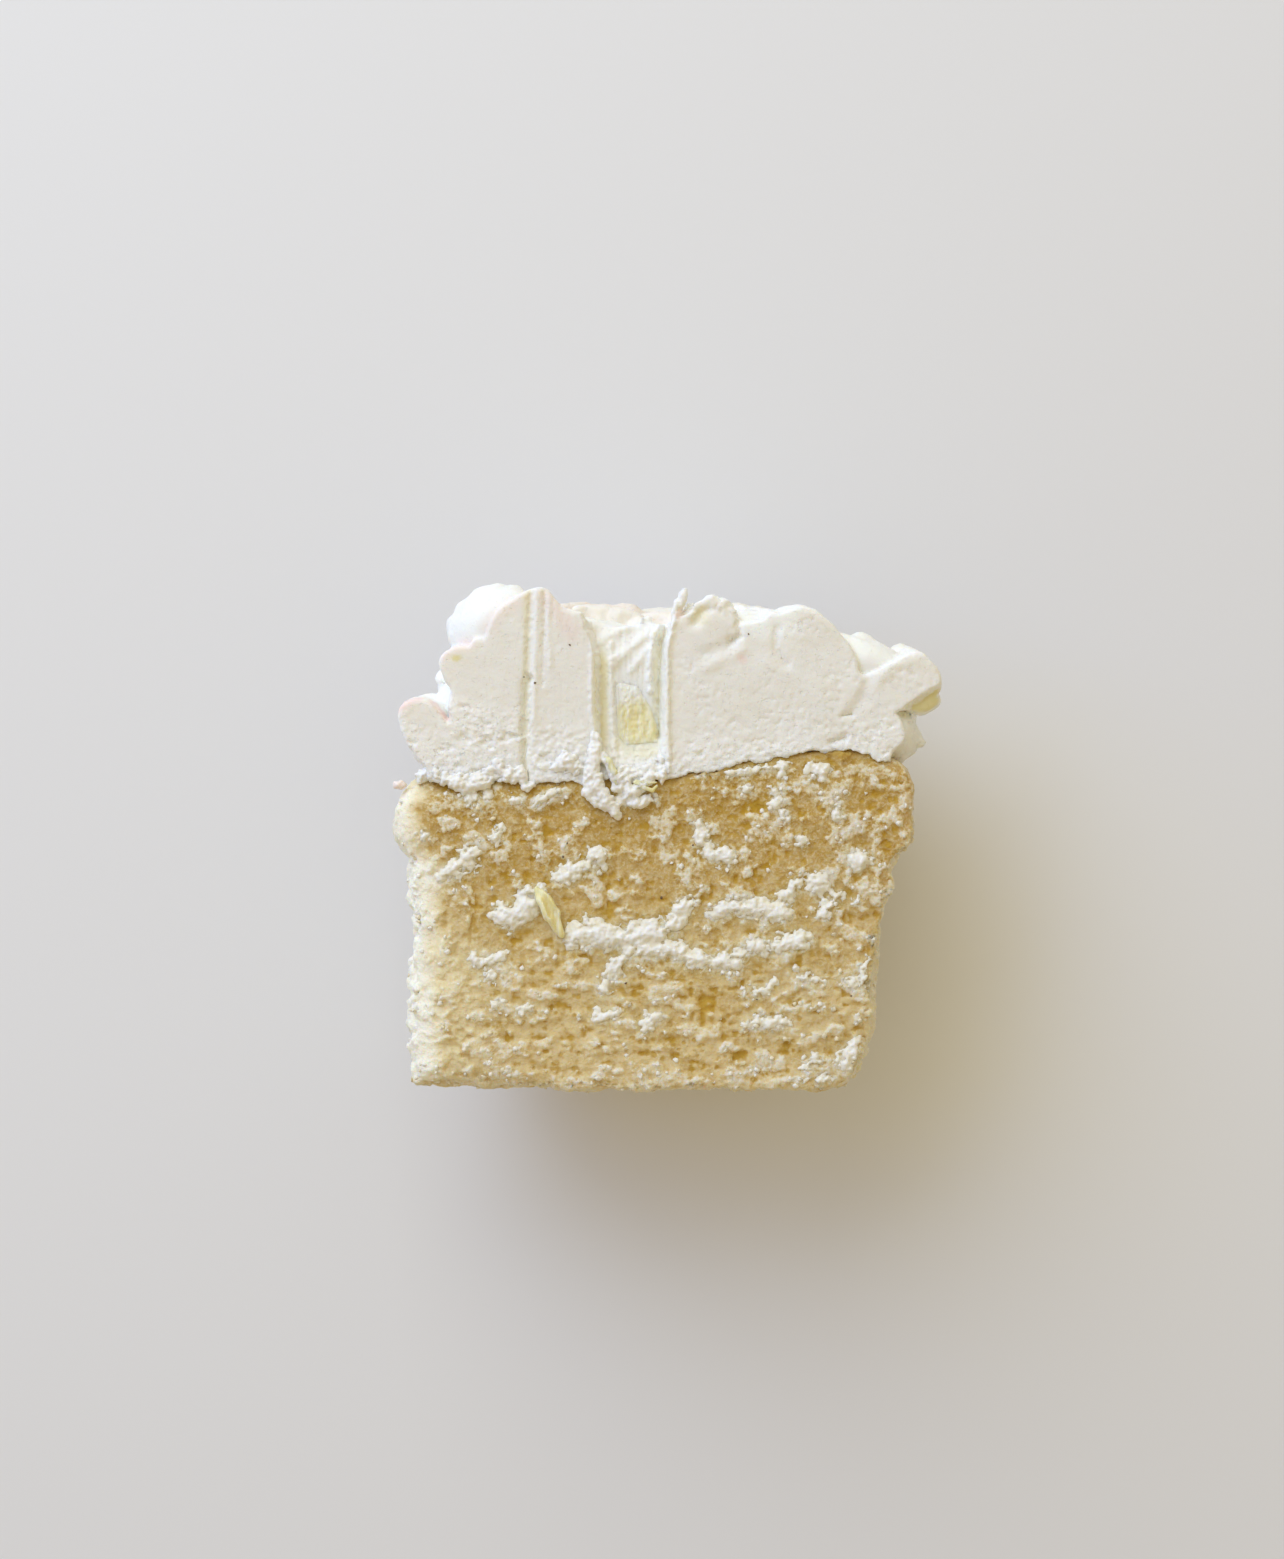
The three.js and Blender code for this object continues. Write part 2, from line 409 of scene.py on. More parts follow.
class FaceMap:
    """A fine grid over the cut face, on which relief and tints are drawn."""

    STEP = 0.1
    LOW = (-34.0, -4.0)
    HIGH = (34.0, 60.0)

    def __init__(self, seed: int) -> None:
        """Lays out the grid.

        Args:
            seed: The fixed seed of the grid's noise.
        """
        across = np.arange(self.LOW[0], self.HIGH[0] + self.STEP, self.STEP)
        along = np.arange(self.LOW[1], self.HIGH[1] + self.STEP, self.STEP)
        self.x, self.y = np.meshgrid(across, along, indexing="ij")
        self.noise = Noise(seed)

    def rough(
        self, width: float, length: float, octaves: int = 3, gain: float = 0.5, turn: float = 0.0
    ) -> Array:
        """Draws noise over the whole grid.

        Args:
            width: The size of its lumps across.
            length: Their size along.
            octaves: How many octaves it has.
            gain: The strength of each octave next to the one before it.
            turn: How far the pattern is turned, in radians.

        Returns:
            One value a place of the grid, from about -1 to 1.
        """
        across = self.x * math.cos(turn) + self.y * math.sin(turn)
        along = self.y * math.cos(turn) - self.x * math.sin(turn)
        depth = np.full(self.x.size, width * 7.7 + length * 3.1 + turn)
        places = np.stack([across.ravel() / width, along.ravel() / length, depth], axis=1)
        rough = spread(lambda part: self.noise.layered(part, octaves, gain), places)
        return rough.reshape(self.x.shape)

    def window(self, line: Array, reach: float) -> tuple[slice, slice]:
        """Finds the part of the grid round a line.

        Args:
            line: The line's points.
            reach: How far the part goes past the line.

        Returns:
            The part's columns and rows.
        """
        low = np.floor((line.min(axis=0) - reach - self.LOW) / self.STEP).astype(int)
        high = np.ceil((line.max(axis=0) + reach - self.LOW) / self.STEP).astype(int) + 1
        low = np.maximum(low, 0)
        return slice(low[0], high[0]), slice(low[1], high[1])

    def near(self, points: Sequence[float], reach: float) -> tuple[tuple[slice, slice], Array]:
        """Measures the distance to a line in the part of the grid round it.

        Args:
            points: The line's points.
            reach: How far the part goes past the line.

        Returns:
            The part, and one distance a place of it.
        """
        line = np.reshape(points, (-1, 2))
        part = self.window(line, reach)
        places = np.stack([self.x[part], self.y[part]], axis=-1)
        return part, line_distance(line, places.reshape(-1, 2)).reshape(places.shape[:2])

    def groove(
        self, drawing: Array, fray: Array, points: Sequence[float], width: float, height: float
    ) -> None:
        """Adds a soft ridge, or a groove of negative height, whose line is frayed."""
        part, distance = self.near(points, 4 * width)
        drawing[part] += height * np.exp(-(((distance + fray[part]) / width) ** 2))

    def read(self, drawing: Array, places: Array) -> Array:
        """Reads a drawing at places of the cake."""
        return bilinear(drawing, self.LOW, self.STEP, places[:, 0], places[:, 1])


@dataclass(frozen=True)
class Skin:
    """A closed surface, in millimetres."""

    LIMIT = 190000  # triangles of a piece; flat stretches are thinned above it

    places: Array
    faces: Array

    def cleared(self, least: float) -> "Skin":
        """Drops the inner bubbles and the small separate bits.

        Args:
            least: The smallest volume that is kept, in cubic millimetres.

        Returns:
            The skin without them.
        """
        sides = np.sort(np.stack([self.faces, np.roll(self.faces, -1, axis=1)], axis=2), axis=2)
        sides = sides[..., 0] * len(self.places) + sides[..., 1]
        _, sides, uses = np.unique(sides, return_inverse=True, return_counts=True)
        face = np.argsort(sides.ravel(), kind="stable") // 4
        start = (np.cumsum(uses) - uses)[uses == 2]
        first, others = face[start], face[start + 1]
        part = np.arange(len(self.faces))
        while True:
            lowest = np.minimum(part[first], part[others])
            after = part.copy()
            np.minimum.at(after, part[first], lowest)
            np.minimum.at(after, part[others], lowest)
            after = after[after]
            if np.array_equal(after, part):
                break
            part = after
        a, b, c, d = (self.places[self.faces[:, i]] for i in range(4))
        swept = np.einsum("ij,ij->i", a, np.cross(b, c) + np.cross(c, d)) / 6
        volume = np.bincount(part, swept)
        used, faces = np.unique(self.faces[volume[part] > least], return_inverse=True)
        return Skin(self.places[used], faces.reshape(-1, 4))

    def piece(
        self, name: str, origin: Array, material: Material, tints: dict[str, Array]
    ) -> Thing:
        """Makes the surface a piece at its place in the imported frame.

        Args:
            name: The piece's name.
            origin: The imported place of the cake's origin.
            material: Its finish.
            tints: Named values that the finish reads, one a place.

        Returns:
            The piece.
        """
        mesh = bpy.data.meshes.new(name)
        mesh.from_pydata(((self.places + origin) * MILLIMETRE).tolist(), [], self.faces.tolist())
        for title, values in tints.items():
            attribute = mesh.attributes.new(title, "FLOAT", "POINT")
            attribute.data.foreach_set("value", np.asarray(values, np.float32))
        made = placed(name, mesh)
        triangles = len(self.faces) * (self.faces.shape[1] - 2)
        if triangles > self.LIMIT:
            thin = made.modifiers.new("thin", "DECIMATE")
            thin.ratio = self.LIMIT / triangles
            made.data = baked(made)
            made.modifiers.remove(thin)
            bpy.data.meshes.remove(mesh)
            made.data.name = name
        made.data.shade_smooth()
        made.data.materials.append(material)
        return made


COARSE = 4  # a coarse sample for so many fine ones
ENDS = (slice(None, -1), slice(1, None))
AROUND = [tuple(ENDS[c] for c in corner) for corner in np.ndindex(2, 2, 2)]  # the corners of a grid's cells


def sampled(field: Field, low: Sequence[float], high: Sequence[float], step: float) -> Array:
    """Samples a field on a grid, finely near its surface and coarsely elsewhere.

    Args:
        field: Its signed distances.
        low: The grid's lowest corner.
        high: The grid's highest corner.
        step: The grid's spacing.

    Returns:
        One value for each node of the grid.
    """
    blocks = [math.ceil((b - a) / (step * COARSE)) for a, b in zip(low, high)]
    rough_axes = [a + step * COARSE * np.arange(n + 1) for a, n in zip(low, blocks)]
    nodes = np.stack(np.meshgrid(*rough_axes, indexing="ij"), axis=-1)
    rough = spread(field, nodes.reshape(-1, 3)).reshape(nodes.shape[:3])
    near = np.abs(rough) < 1.5 * step * COARSE
    busy = np.logical_or.reduce([near[part] for part in AROUND])
    busy |= np.logical_or.reduce([(rough[part] < 0) != (rough[AROUND[0]] < 0) for part in AROUND])
    index = [np.minimum(np.arange(n * COARSE + 1) // COARSE, n - 1) for n in blocks]
    values = rough[np.ix_(*index)]
    fine = np.argwhere(busy[np.ix_(*index)])
    values[tuple(fine.T)] = spread(field, np.array(low) + step * fine)
    return values


EDGES = [
    (corner, tuple(c + (axis == i) for i, c in enumerate(corner)))
    for axis in range(3)
    for corner in np.ndindex(2, 2, 2)
    if corner[axis] == 0
]


def wrap(field: Field, low: Sequence[float], high: Sequence[float], step: float) -> Skin:
    """Wraps a closed skin round the places where a field is negative.

    Args:
        field: Its signed distances.
        low: The lowest corner of the box that holds the solid.
        high: The highest corner of that box.
        step: The size of the skin's faces.

    Returns:
        The skin, with its faces pointing outwards.
    """
    values = sampled(field, low, high, step)
    inside = values < 0
    corners = [inside[part] for part in AROUND]
    full = np.logical_and.reduce(corners)
    mixed = np.logical_or.reduce(corners) & ~full
    cells = np.argwhere(mixed)
    number = np.full(mixed.shape, -1)
    number[mixed] = np.arange(len(cells))
    total = np.zeros((len(cells), 3))
    found = np.zeros(len(cells))
    for start, end in EDGES:
        first = values[tuple((cells + start).T)]
        last = values[tuple((cells + end).T)]
        crossed = (first < 0) != (last < 0)
        share = np.where(crossed, first / np.where(crossed, first - last, 1.0), 0.0)
        place = np.array(start) + share[:, None] * (np.array(end) - start)
        total += np.where(crossed[:, None], place, 0.0)
        found += crossed
    places = np.array(low) + step * (cells + total / found[:, None])
    faces = []
    for axis in range(3):
        others = [i for i in range(3) if i != axis]
        first = inside[tuple(slice(None, -1) if i == axis else slice(1, -1) for i in range(3))]
        last = inside[tuple(slice(1, None) if i == axis else slice(1, -1) for i in range(3))]
        spots = np.argwhere(first != last)
        outward = first[tuple(spots.T)]
        spots[:, others] += 1
        around = []
        for back in ((1, 1), (0, 1), (0, 0), (1, 0)):
            cell = spots.copy()
            cell[:, others] -= back
            around.append(number[tuple(cell.T)])
        quads = np.stack(around, axis=1)
        forward = outward if axis != 1 else ~outward
        quads[~forward] = quads[~forward, ::-1]
        faces.append(quads)
    return Skin(places, np.vstack(faces)).cleared(6 * step**3)


def slope(field: Field, places: Array, reach: float = 0.05) -> Array:
    """Finds which way a field grows.

    Args:
        field: Its signed distances.
        places: The places.
        reach: How far from each place the field is read.

    Returns:
        One gradient a place.
    """
    steps = reach * np.eye(3)

    def grows(part: Array) -> Array:
        """The gradient at a part of the places."""
        return np.stack([(field(part + s) - field(part - s)) / (2 * reach) for s in steps], axis=1)

    return spread(grows, places, 8000)


def settle(field: Field, skin: Skin, rounds: int, limit: float) -> Skin:
    """Moves a skin onto the surface of a field.

    Args:
        field: Its signed distances.
        skin: The skin to move.
        rounds: How many times it is moved.
        limit: The longest move of one round.

    Returns:
        The moved skin.
    """
    places = skin.places
    for _ in range(rounds):
        growth = slope(field, places)
        length = np.einsum("ij,ij->i", growth, growth)
        move = -spread(field, places)[:, None] * growth / np.maximum(length, 0.2)[:, None]
        far = np.linalg.norm(move, axis=1, keepdims=True)
        places = places + move * np.minimum(1.0, limit / np.maximum(far, 1e-9))
    return Skin(places, skin.faces)


def refine(skin: Skin, chosen: Array) -> Skin:
    """Halves the faces whose corners are all chosen, and joins them neatly to the others.

    Args:
        skin: The skin to refine.
        chosen: True for each place whose faces are halved.

    Returns:
        The refined skin, of triangles.
    """
    work = bmesh.new()
    mesh = bpy.data.meshes.new("refined")
    mesh.from_pydata(skin.places.tolist(), [], skin.faces.tolist())
    work.from_mesh(mesh)
    work.verts.ensure_lookup_table()
    picked = chosen.tolist()
    faces = [f for f in work.faces if all(picked[v.index] for v in f.verts)]
    edges = list({e for f in faces for e in f.edges})
    bmesh.ops.subdivide_edges(work, edges=edges, cuts=1, use_grid_fill=True)
    bmesh.ops.triangulate(work, faces=list(work.faces))
    work.to_mesh(mesh)
    work.free()
    places = np.empty(len(mesh.vertices) * 3)
    mesh.vertices.foreach_get("co", places)
    corners = np.empty(len(mesh.loops), np.int64)
    mesh.loops.foreach_get("vertex_index", corners)
    bpy.data.meshes.remove(mesh)
    return Skin(places.reshape(-1, 3), corners.reshape(-1, 3))


def faced(
    field: Field, box: Sequence[Sequence[float]], step: float, top: tuple[float, float], moves: Point
) -> tuple[Skin, Array]:
    """Wraps a skin whose faces are finer on the side that looks up.

    Args:
        field: Its signed distances.
        box: The lowest and the highest corner of the box that holds the solid.
        step: The size of the skin's faces.
        top: How far up the finer faces look at least, and how high they lie.
        moves: The longest moves onto the surface, before and after the faces are halved.

    Returns:
        The skin and its outward directions.
    """
    skin = settle(field, wrap(field, *box, step), 1, moves[0])
    up = slope(field, skin.places)[:, 2]
    skin = settle(field, refine(skin, (up > top[0]) & (skin.places[:, 2] > top[1])), 1, moves[1])
    normals = slope(field, skin.places)
    return skin, normals / np.maximum(np.linalg.norm(normals, axis=1, keepdims=True), 1e-6)


# Marks on the cut face: the width of each and the places that its middle line goes through.
Marks = tuple[tuple[float, ...], ...]

SMEARS: Marks = (
    (1.4, -23.5, 22.7, -19.9, 25.5), (1.4, -10.1, 22.9, -6.2, 25.2),
    (2.2, -16.5, 18.5, -15.3, 19, -13.8, 19.8), (1, -13.8, 21.4, -12.5, 21.1),
    (2, -8.8, 16.6, -7.2, 17.1, -5.7, 16.4), (2.2, -5.7, 16.2, -2.6, 16.2, 0.3, 16.8),
    (1.5, 0.3, 16.8, 2.1, 17.9, 3, 19.7), (1.1, -2.6, 15.1, -4.6, 12.5, -5.7, 10.7),
    (1.5, -1.6, 14.8, 1.4, 15.1, 4.2, 13.9, 8.8, 13.5), (1.6, 6.7, 18.8, 7.9, 19.5, 11, 19.4, 14, 19.1),
    (1.3, 10.7, 15.2, 13.3, 15.4, 16.5, 15.9), (0.8, 9.9, 14.5, 8.2, 14),
    (0.9, 14, 34.9, 13.3, 32.2, 13.5, 30.5, 14.1, 29.3),
    (1.3, 5.2, 28.3, 5.2, 26.9, 6.2, 25.4, 8.1, 25.2), (1.8, 22.4, 24.8, 22.6, 24.9),
    (1.6, 17.6, 21.9, 18.3, 22.6), (1.1, 15.4, 22.1, 14.3, 20.8), (1.7, 23.6, 12.9, 23.5, 11.3),
    (1.1, 21.7, 11.4, 21.9, 11.5), (0.7, 15.6, 12, 18.4, 11.4), (0.9, 12.5, 10.6, 10, 10),
    (1, 12.2, 6.8, 14.4, 6.9), (0.7, 9.9, 6.6, 11, 7), (1, -19.9, 14, -18.6, 13.5, -16.9, 14.2),
    (0.7, -18.4, 13.5, -18.3, 12.1), (0.9, -6.2, 7.6, -4.4, 7.9), (0.9, -1.1, 6.5, 0.1, 7.6),
    (0.7, -17.9, 8.5, -17.1, 9.2), (0.6, -14.7, 8.1, -14, 8.5), (1.6, 20.9, 2.5, 22.1, 4.1),
    (0.8, 16.8, 2.1, 17.7, 2.8), (0.8, 16.5, 0.3, 19.4, 0.5),
    (0.8, 8.1, 34.3, 9.3, 34.6, 11.3, 34.8, 14.1, 35), (1.5, 17.9, 34.3, 18.1, 34.3),
    (0.9, -18.8, 31.7, -18.6, 31.7), (0.7, -15.7, 31.4, -14.8, 31.5), (0.9, -13, 31.2, -10.9, 32.3),
    (1.2, -17.5, 27.6, -17.3, 27.7), (0.9, -25.6, 27.4, -25.4, 27.4), (0.7, -20.4, 31.6, -19.5, 30.7),
    (0.9, -3.7, 31.4, -2.8, 31.7), (0.9, 16, 27.1, 16.2, 27.2), (0.8, 19.7, 30.5, 20.1, 29.5),
    (0.5, 10.1, 32.5, 10.7, 32.7), (0.9, 18.6, 18.8, 19.9, 20.7), (0.8, 22.2, 20, 22.4, 20.1),
)

CRUMB_CLUSTERS: Marks = (
    (0.9, 3, 20, 2.9, 21.4, 4.3, 22.1, 5.6, 21.6), (1.8, 12.9, 28.1, 11, 27.3),
    (1.1, 9.3, 1.1, 11.6, 1.9, 13.8, 2.4), (0.8, 0.3, 0.4, 2.3, 0.9), (1.9, -9.7, 26.7, -9.8, 25.9),
    (1.1, -12.1, 24.1, -12.3, 25.3), (1.5, -2.1, 31.5, -0.2, 31.4),
    (1, 19.9, 34.4, 22.9, 34.9, 25.3, 34.5, 26.8, 33.7), (0.9, 26.4, 32.7, 28.2, 32.6),
    (0.8, 24.1, 27.9, 24.3, 24), (1.8, 1.5, 25.3, 1.7, 25.3), (1.6, 4.3, 24, 4.5, 24),
    (1.4, 16, 33.4, 18.6, 31.8, 20.8, 32.6), (1.2, -24.4, 30.6, -21.4, 31.2, -17.9, 30.2),
)

# Where the icing is pink: how wide each line is, how strong, and its course.
PINK_EDGES = (
    (0.9, 1.5, -28.3, 41.4, -27.3, 42.3, -26, 42.7), (0.7, 1.3, -24.6, 42.3, -23.8, 41.6, -22.9, 40.4),
    (1.3, 0.7, -23.6, 47.2, -22.6, 48.2, -20.4, 48.6),
    (1.5, 0.4, -18, 50.4, -17.4, 52, -16, 53, -14.6, 53.7),
    (1.6, 0.5, -11.8, 53.8, -10.6, 52.2, -9.2, 49.8), (0.7, 1, 2.6, 51.7, 2.8, 52),
    (0.6, 0.9, 9.4, 47.1, 9.8, 46.6),
)
# What the knife drew in the icing: the half width of each line, its height and its course.
KNIFE_LINES = (
    (0.32, -0.32, -13.6, 55, -13.9, 49, -14, 44.6),
    (0.42, -0.7, -14, 44.6, -14.3, 43.5, -14.3, 38, -14.3, 33),
    (0.3, 0.14, -12.9, 54.9, -13.1, 49, -13.2, 44.5, -13.4, 40),
    (0.2, -0.16, -12.2, 54.3, -12.3, 50, -12.4, 44), (0.2, 0.12, -11.6, 53.8, -11.8, 50, -11.6, 46),
    (0.6, 0.08, 18.6, 51.4, 21.4, 49.4, 22.8, 46.8, 22.4, 43.8, 20.4, 41),
    (0.7, -0.16, 23.4, 47, 23.6, 45.4, 22.8, 42.6, 21.6, 40.8), (0.28, -0.5, 19.3, 37.7, 20.9, 38.2),
    (0.22, -0.35, 20.6, 40.6, 21.5, 40.8), (0.6, 0.12, 24.4, 44.2, 26.2, 46.2, 28.6, 46.6),
    (0.5, -0.2, 13.4, 50.2, 13.2, 48, 14.4, 46.4),
    (0.6, 0.14, 5.6, 45.8, 7.2, 46.9, 8.6, 47.2, 9.6, 48), (0.8, -0.2, 5.4, 47.4, 7.2, 48, 8.4, 48.6),
    (0.6, -0.6, 4.4, 50.9, 5, 51.9, 5.6, 52.2), (0.35, -0.5, 9.1, 50.8, 9.3, 49.4, 8.4, 48.8),
)
TROUGH_LINES = (
    (0.34, 0.4, -4.9, 48.6, -4.8, 44, -4.7, 40, -4.6, 36.4),
    (0.3, 0.25, -6.9, 50.6, -7, 46, -7, 41, -6.6, 38.4),
    (0.3, 0.42, 2.5, 53.2, 1.9, 50.4, 1.4, 48.6, 1.3, 41, 1.5, 34.6),
    (0.4, -0.8, 1.6, 51.4, 0.7, 48.8, 0.45, 43, 0.5, 38.4),
    (0.28, 0.6, 1.2, 51.8, -0.2, 49.4, -0.5, 46.6, -0.5, 43.4),
    (0.5, 0.32, -4.6, 46.6, -1.4, 49.2, 1.8, 52.4), (0.55, 0.3, -6.2, 48.8, -3.2, 50.6, -0.4, 52.2),
    (0.4, 0.25, -2.6, 45.6, -0.6, 48.2, 1, 50.8),
)

# The largest pores of the cut face: the middle of each, its half width and half height.
PORES = (
    (5.7, 8.5, 0.8, 1.4), (2.4, 9.1, 0.6, 0.6), (3.9, 10.2, 0.4, 0.4), (6.6, 10.4, 0.4, 0.4),
    (9.6, 11.1, 0.4, 0.4), (15.8, 13.6, 0.6, 0.6), (14.5, 4.5, 0.6, 0.6), (9.1, 3.1, 0.8, 0.7),
    (-5.1, 19, 0.9, 0.3), (-8, 14.1, 0.8, 0.4), (-3.9, 8.7, 0.6, 0.3), (9.3, 5.6, 0.7, 0.3),
    (2.2, 3.1, 0.4, 0.4), (-0.1, 4, 0.6, 0.3), (17.4, 10.4, 0.6, 0.3), (4.6, 20.5, 0.9, 0.7),
    (11.1, 30.5, 1.8, 1), (5.1, 33.8, 1.1, 0.4), (-14.5, 20.8, 0.7, 0.4), (-17.2, 19.2, 0.3, 0.6),
    (-20.2, 18.4, 0.4, 2), (-15.4, 15.8, 0.6, 0.4), (-17.9, 7.6, 0.4, 0.4), (-16.2, 5.1, 0.4, 0.6),
    (-11.4, 8.5, 0.4, 0.3), (-9.5, 8.5, 0.3, 0.2), (-11.7, 22.2, 0.6, 0.3), (-0.6, 13.4, 1.2, 0.4),
    (8.2, 15.4, 1.1, 0.4),
)


class Bodies:
    """The whole, uncut shapes of the sponge and its icing."""

    FOOT = (0, 0, 12, 0, 23.5, 0, 25.1, 0.5, 25.5, 1.6)
    WALL = (*FOOT, 26.3, 9, 26.9, 17, 27.2, 23, 27.2, 25, 28.5, 26.8, 28.8, 29.5)
    BACK_WALL = (*FOOT, 26.4, 9, 27.3, 17, 27.9, 23, 28.2, 25, 28.5, 26.8, 28.8, 29.5)
    CROWN_LEFT = (28.5, 31.8, 27.2, 33.4, 24.6, 34.3, 20, 34.5, 12, 34.4, 5, 34.3, 0, 34.2)
    CROWN_RIGHT = (28.6, 32.6, 27.4, 35.2, 24.8, 36.6, 20, 37.4, 12, 36.7, 5, 35.2, 0, 34.2)
    CROWN_BACK = (28.5, 32.2, 27.3, 34.2, 24.7, 35.3, 20, 35.8, 12, 35.5, 5, 34.7, 0, 34.2)
    ICING_LEFT = (
        0, 32.5, 22, 32.5, 25.6, 35.6, 27.4, 38, 28.3, 41, 27.7, 42.3, 26, 42.8, 24.4, 42.2,
        22.8, 40.4, 22.9, 42, 22.5, 43.7, 23.4, 45.2, 23.8, 46.6, 23.3, 47.8, 22, 48.5,
        20.4, 48.6, 19.4, 48.7, 18.7, 49.8, 18.2, 51.2, 17.4, 52.5, 15.8, 53.7, 13.6, 54.9,
        12.2, 54.8, 11, 53.6, 9.6, 52.6, 5.6, 52.2, 0, 52,
    )
    ICING_RIGHT = (
        0, 32.5, 23.4, 32.5, 26.2, 36.8, 27.4, 38, 27.6, 39.2, 27.3, 40.2, 27.1, 40.7,
        26.9, 41, 26.7, 41.4, 29, 41.7, 30.9, 42.8, 31.6, 44.6, 30.6, 46.9, 28.4, 47.9,
        23, 45.4, 22.1, 47.5, 20.6, 49.9, 18.6, 51.8, 16.7, 52.8, 14.9, 52.6, 10, 51.2,
        5, 52.6, 0, 52,
    )
    ICING_HEART = (
        0, 32.5, 22, 32.5, 24.2, 36.2, 23.8, 39, 21.8, 41, 21.9, 44, 20.6, 46.6,
        18, 48.2, 15, 49.4, 10, 49.8, 5, 50.6, 0, 51,
    )
    WAIST = 0.8  # how far the flanks draw in between base and rim
    RIM_HEIGHT = 29.5

    def __init__(self) -> None:
        """Tabulates the outlines."""
        self.sponge_right = Outline((*self.WALL, *self.CROWN_RIGHT))
        self.sponge_back = Outline((*self.BACK_WALL, *self.CROWN_BACK))
        self.sponge_left = Outline((*self.WALL, *self.CROWN_LEFT))
        self.icing_left = Outline(self.ICING_LEFT)
        self.icing_right = Outline(self.ICING_RIGHT)
        self.icing_heart = Outline(self.ICING_HEART)

    def sponge_distance(self, spot: Standing) -> Array:
        """Measures the distance to the whole sponge, whose outline changes from flank to back.

        Args:
            spot: The standing places.

        Returns:
            One distance a place.
        """
        height, side = spot.height, spot.side
        drawn_in = self.WAIST * np.sin(math.pi * np.clip(height / self.RIM_HEIGHT, 0.0, 1.0)) ** 2 * side**2
        radius = spot.radius + drawn_in
        right, left = self.sponge_right.distance(radius, height), self.sponge_left.distance(radius, height)
        back = self.sponge_back.distance(radius, height)
        return mix(back, np.where(side > 0, right, left), ease(0.5, 1, np.abs(side)))


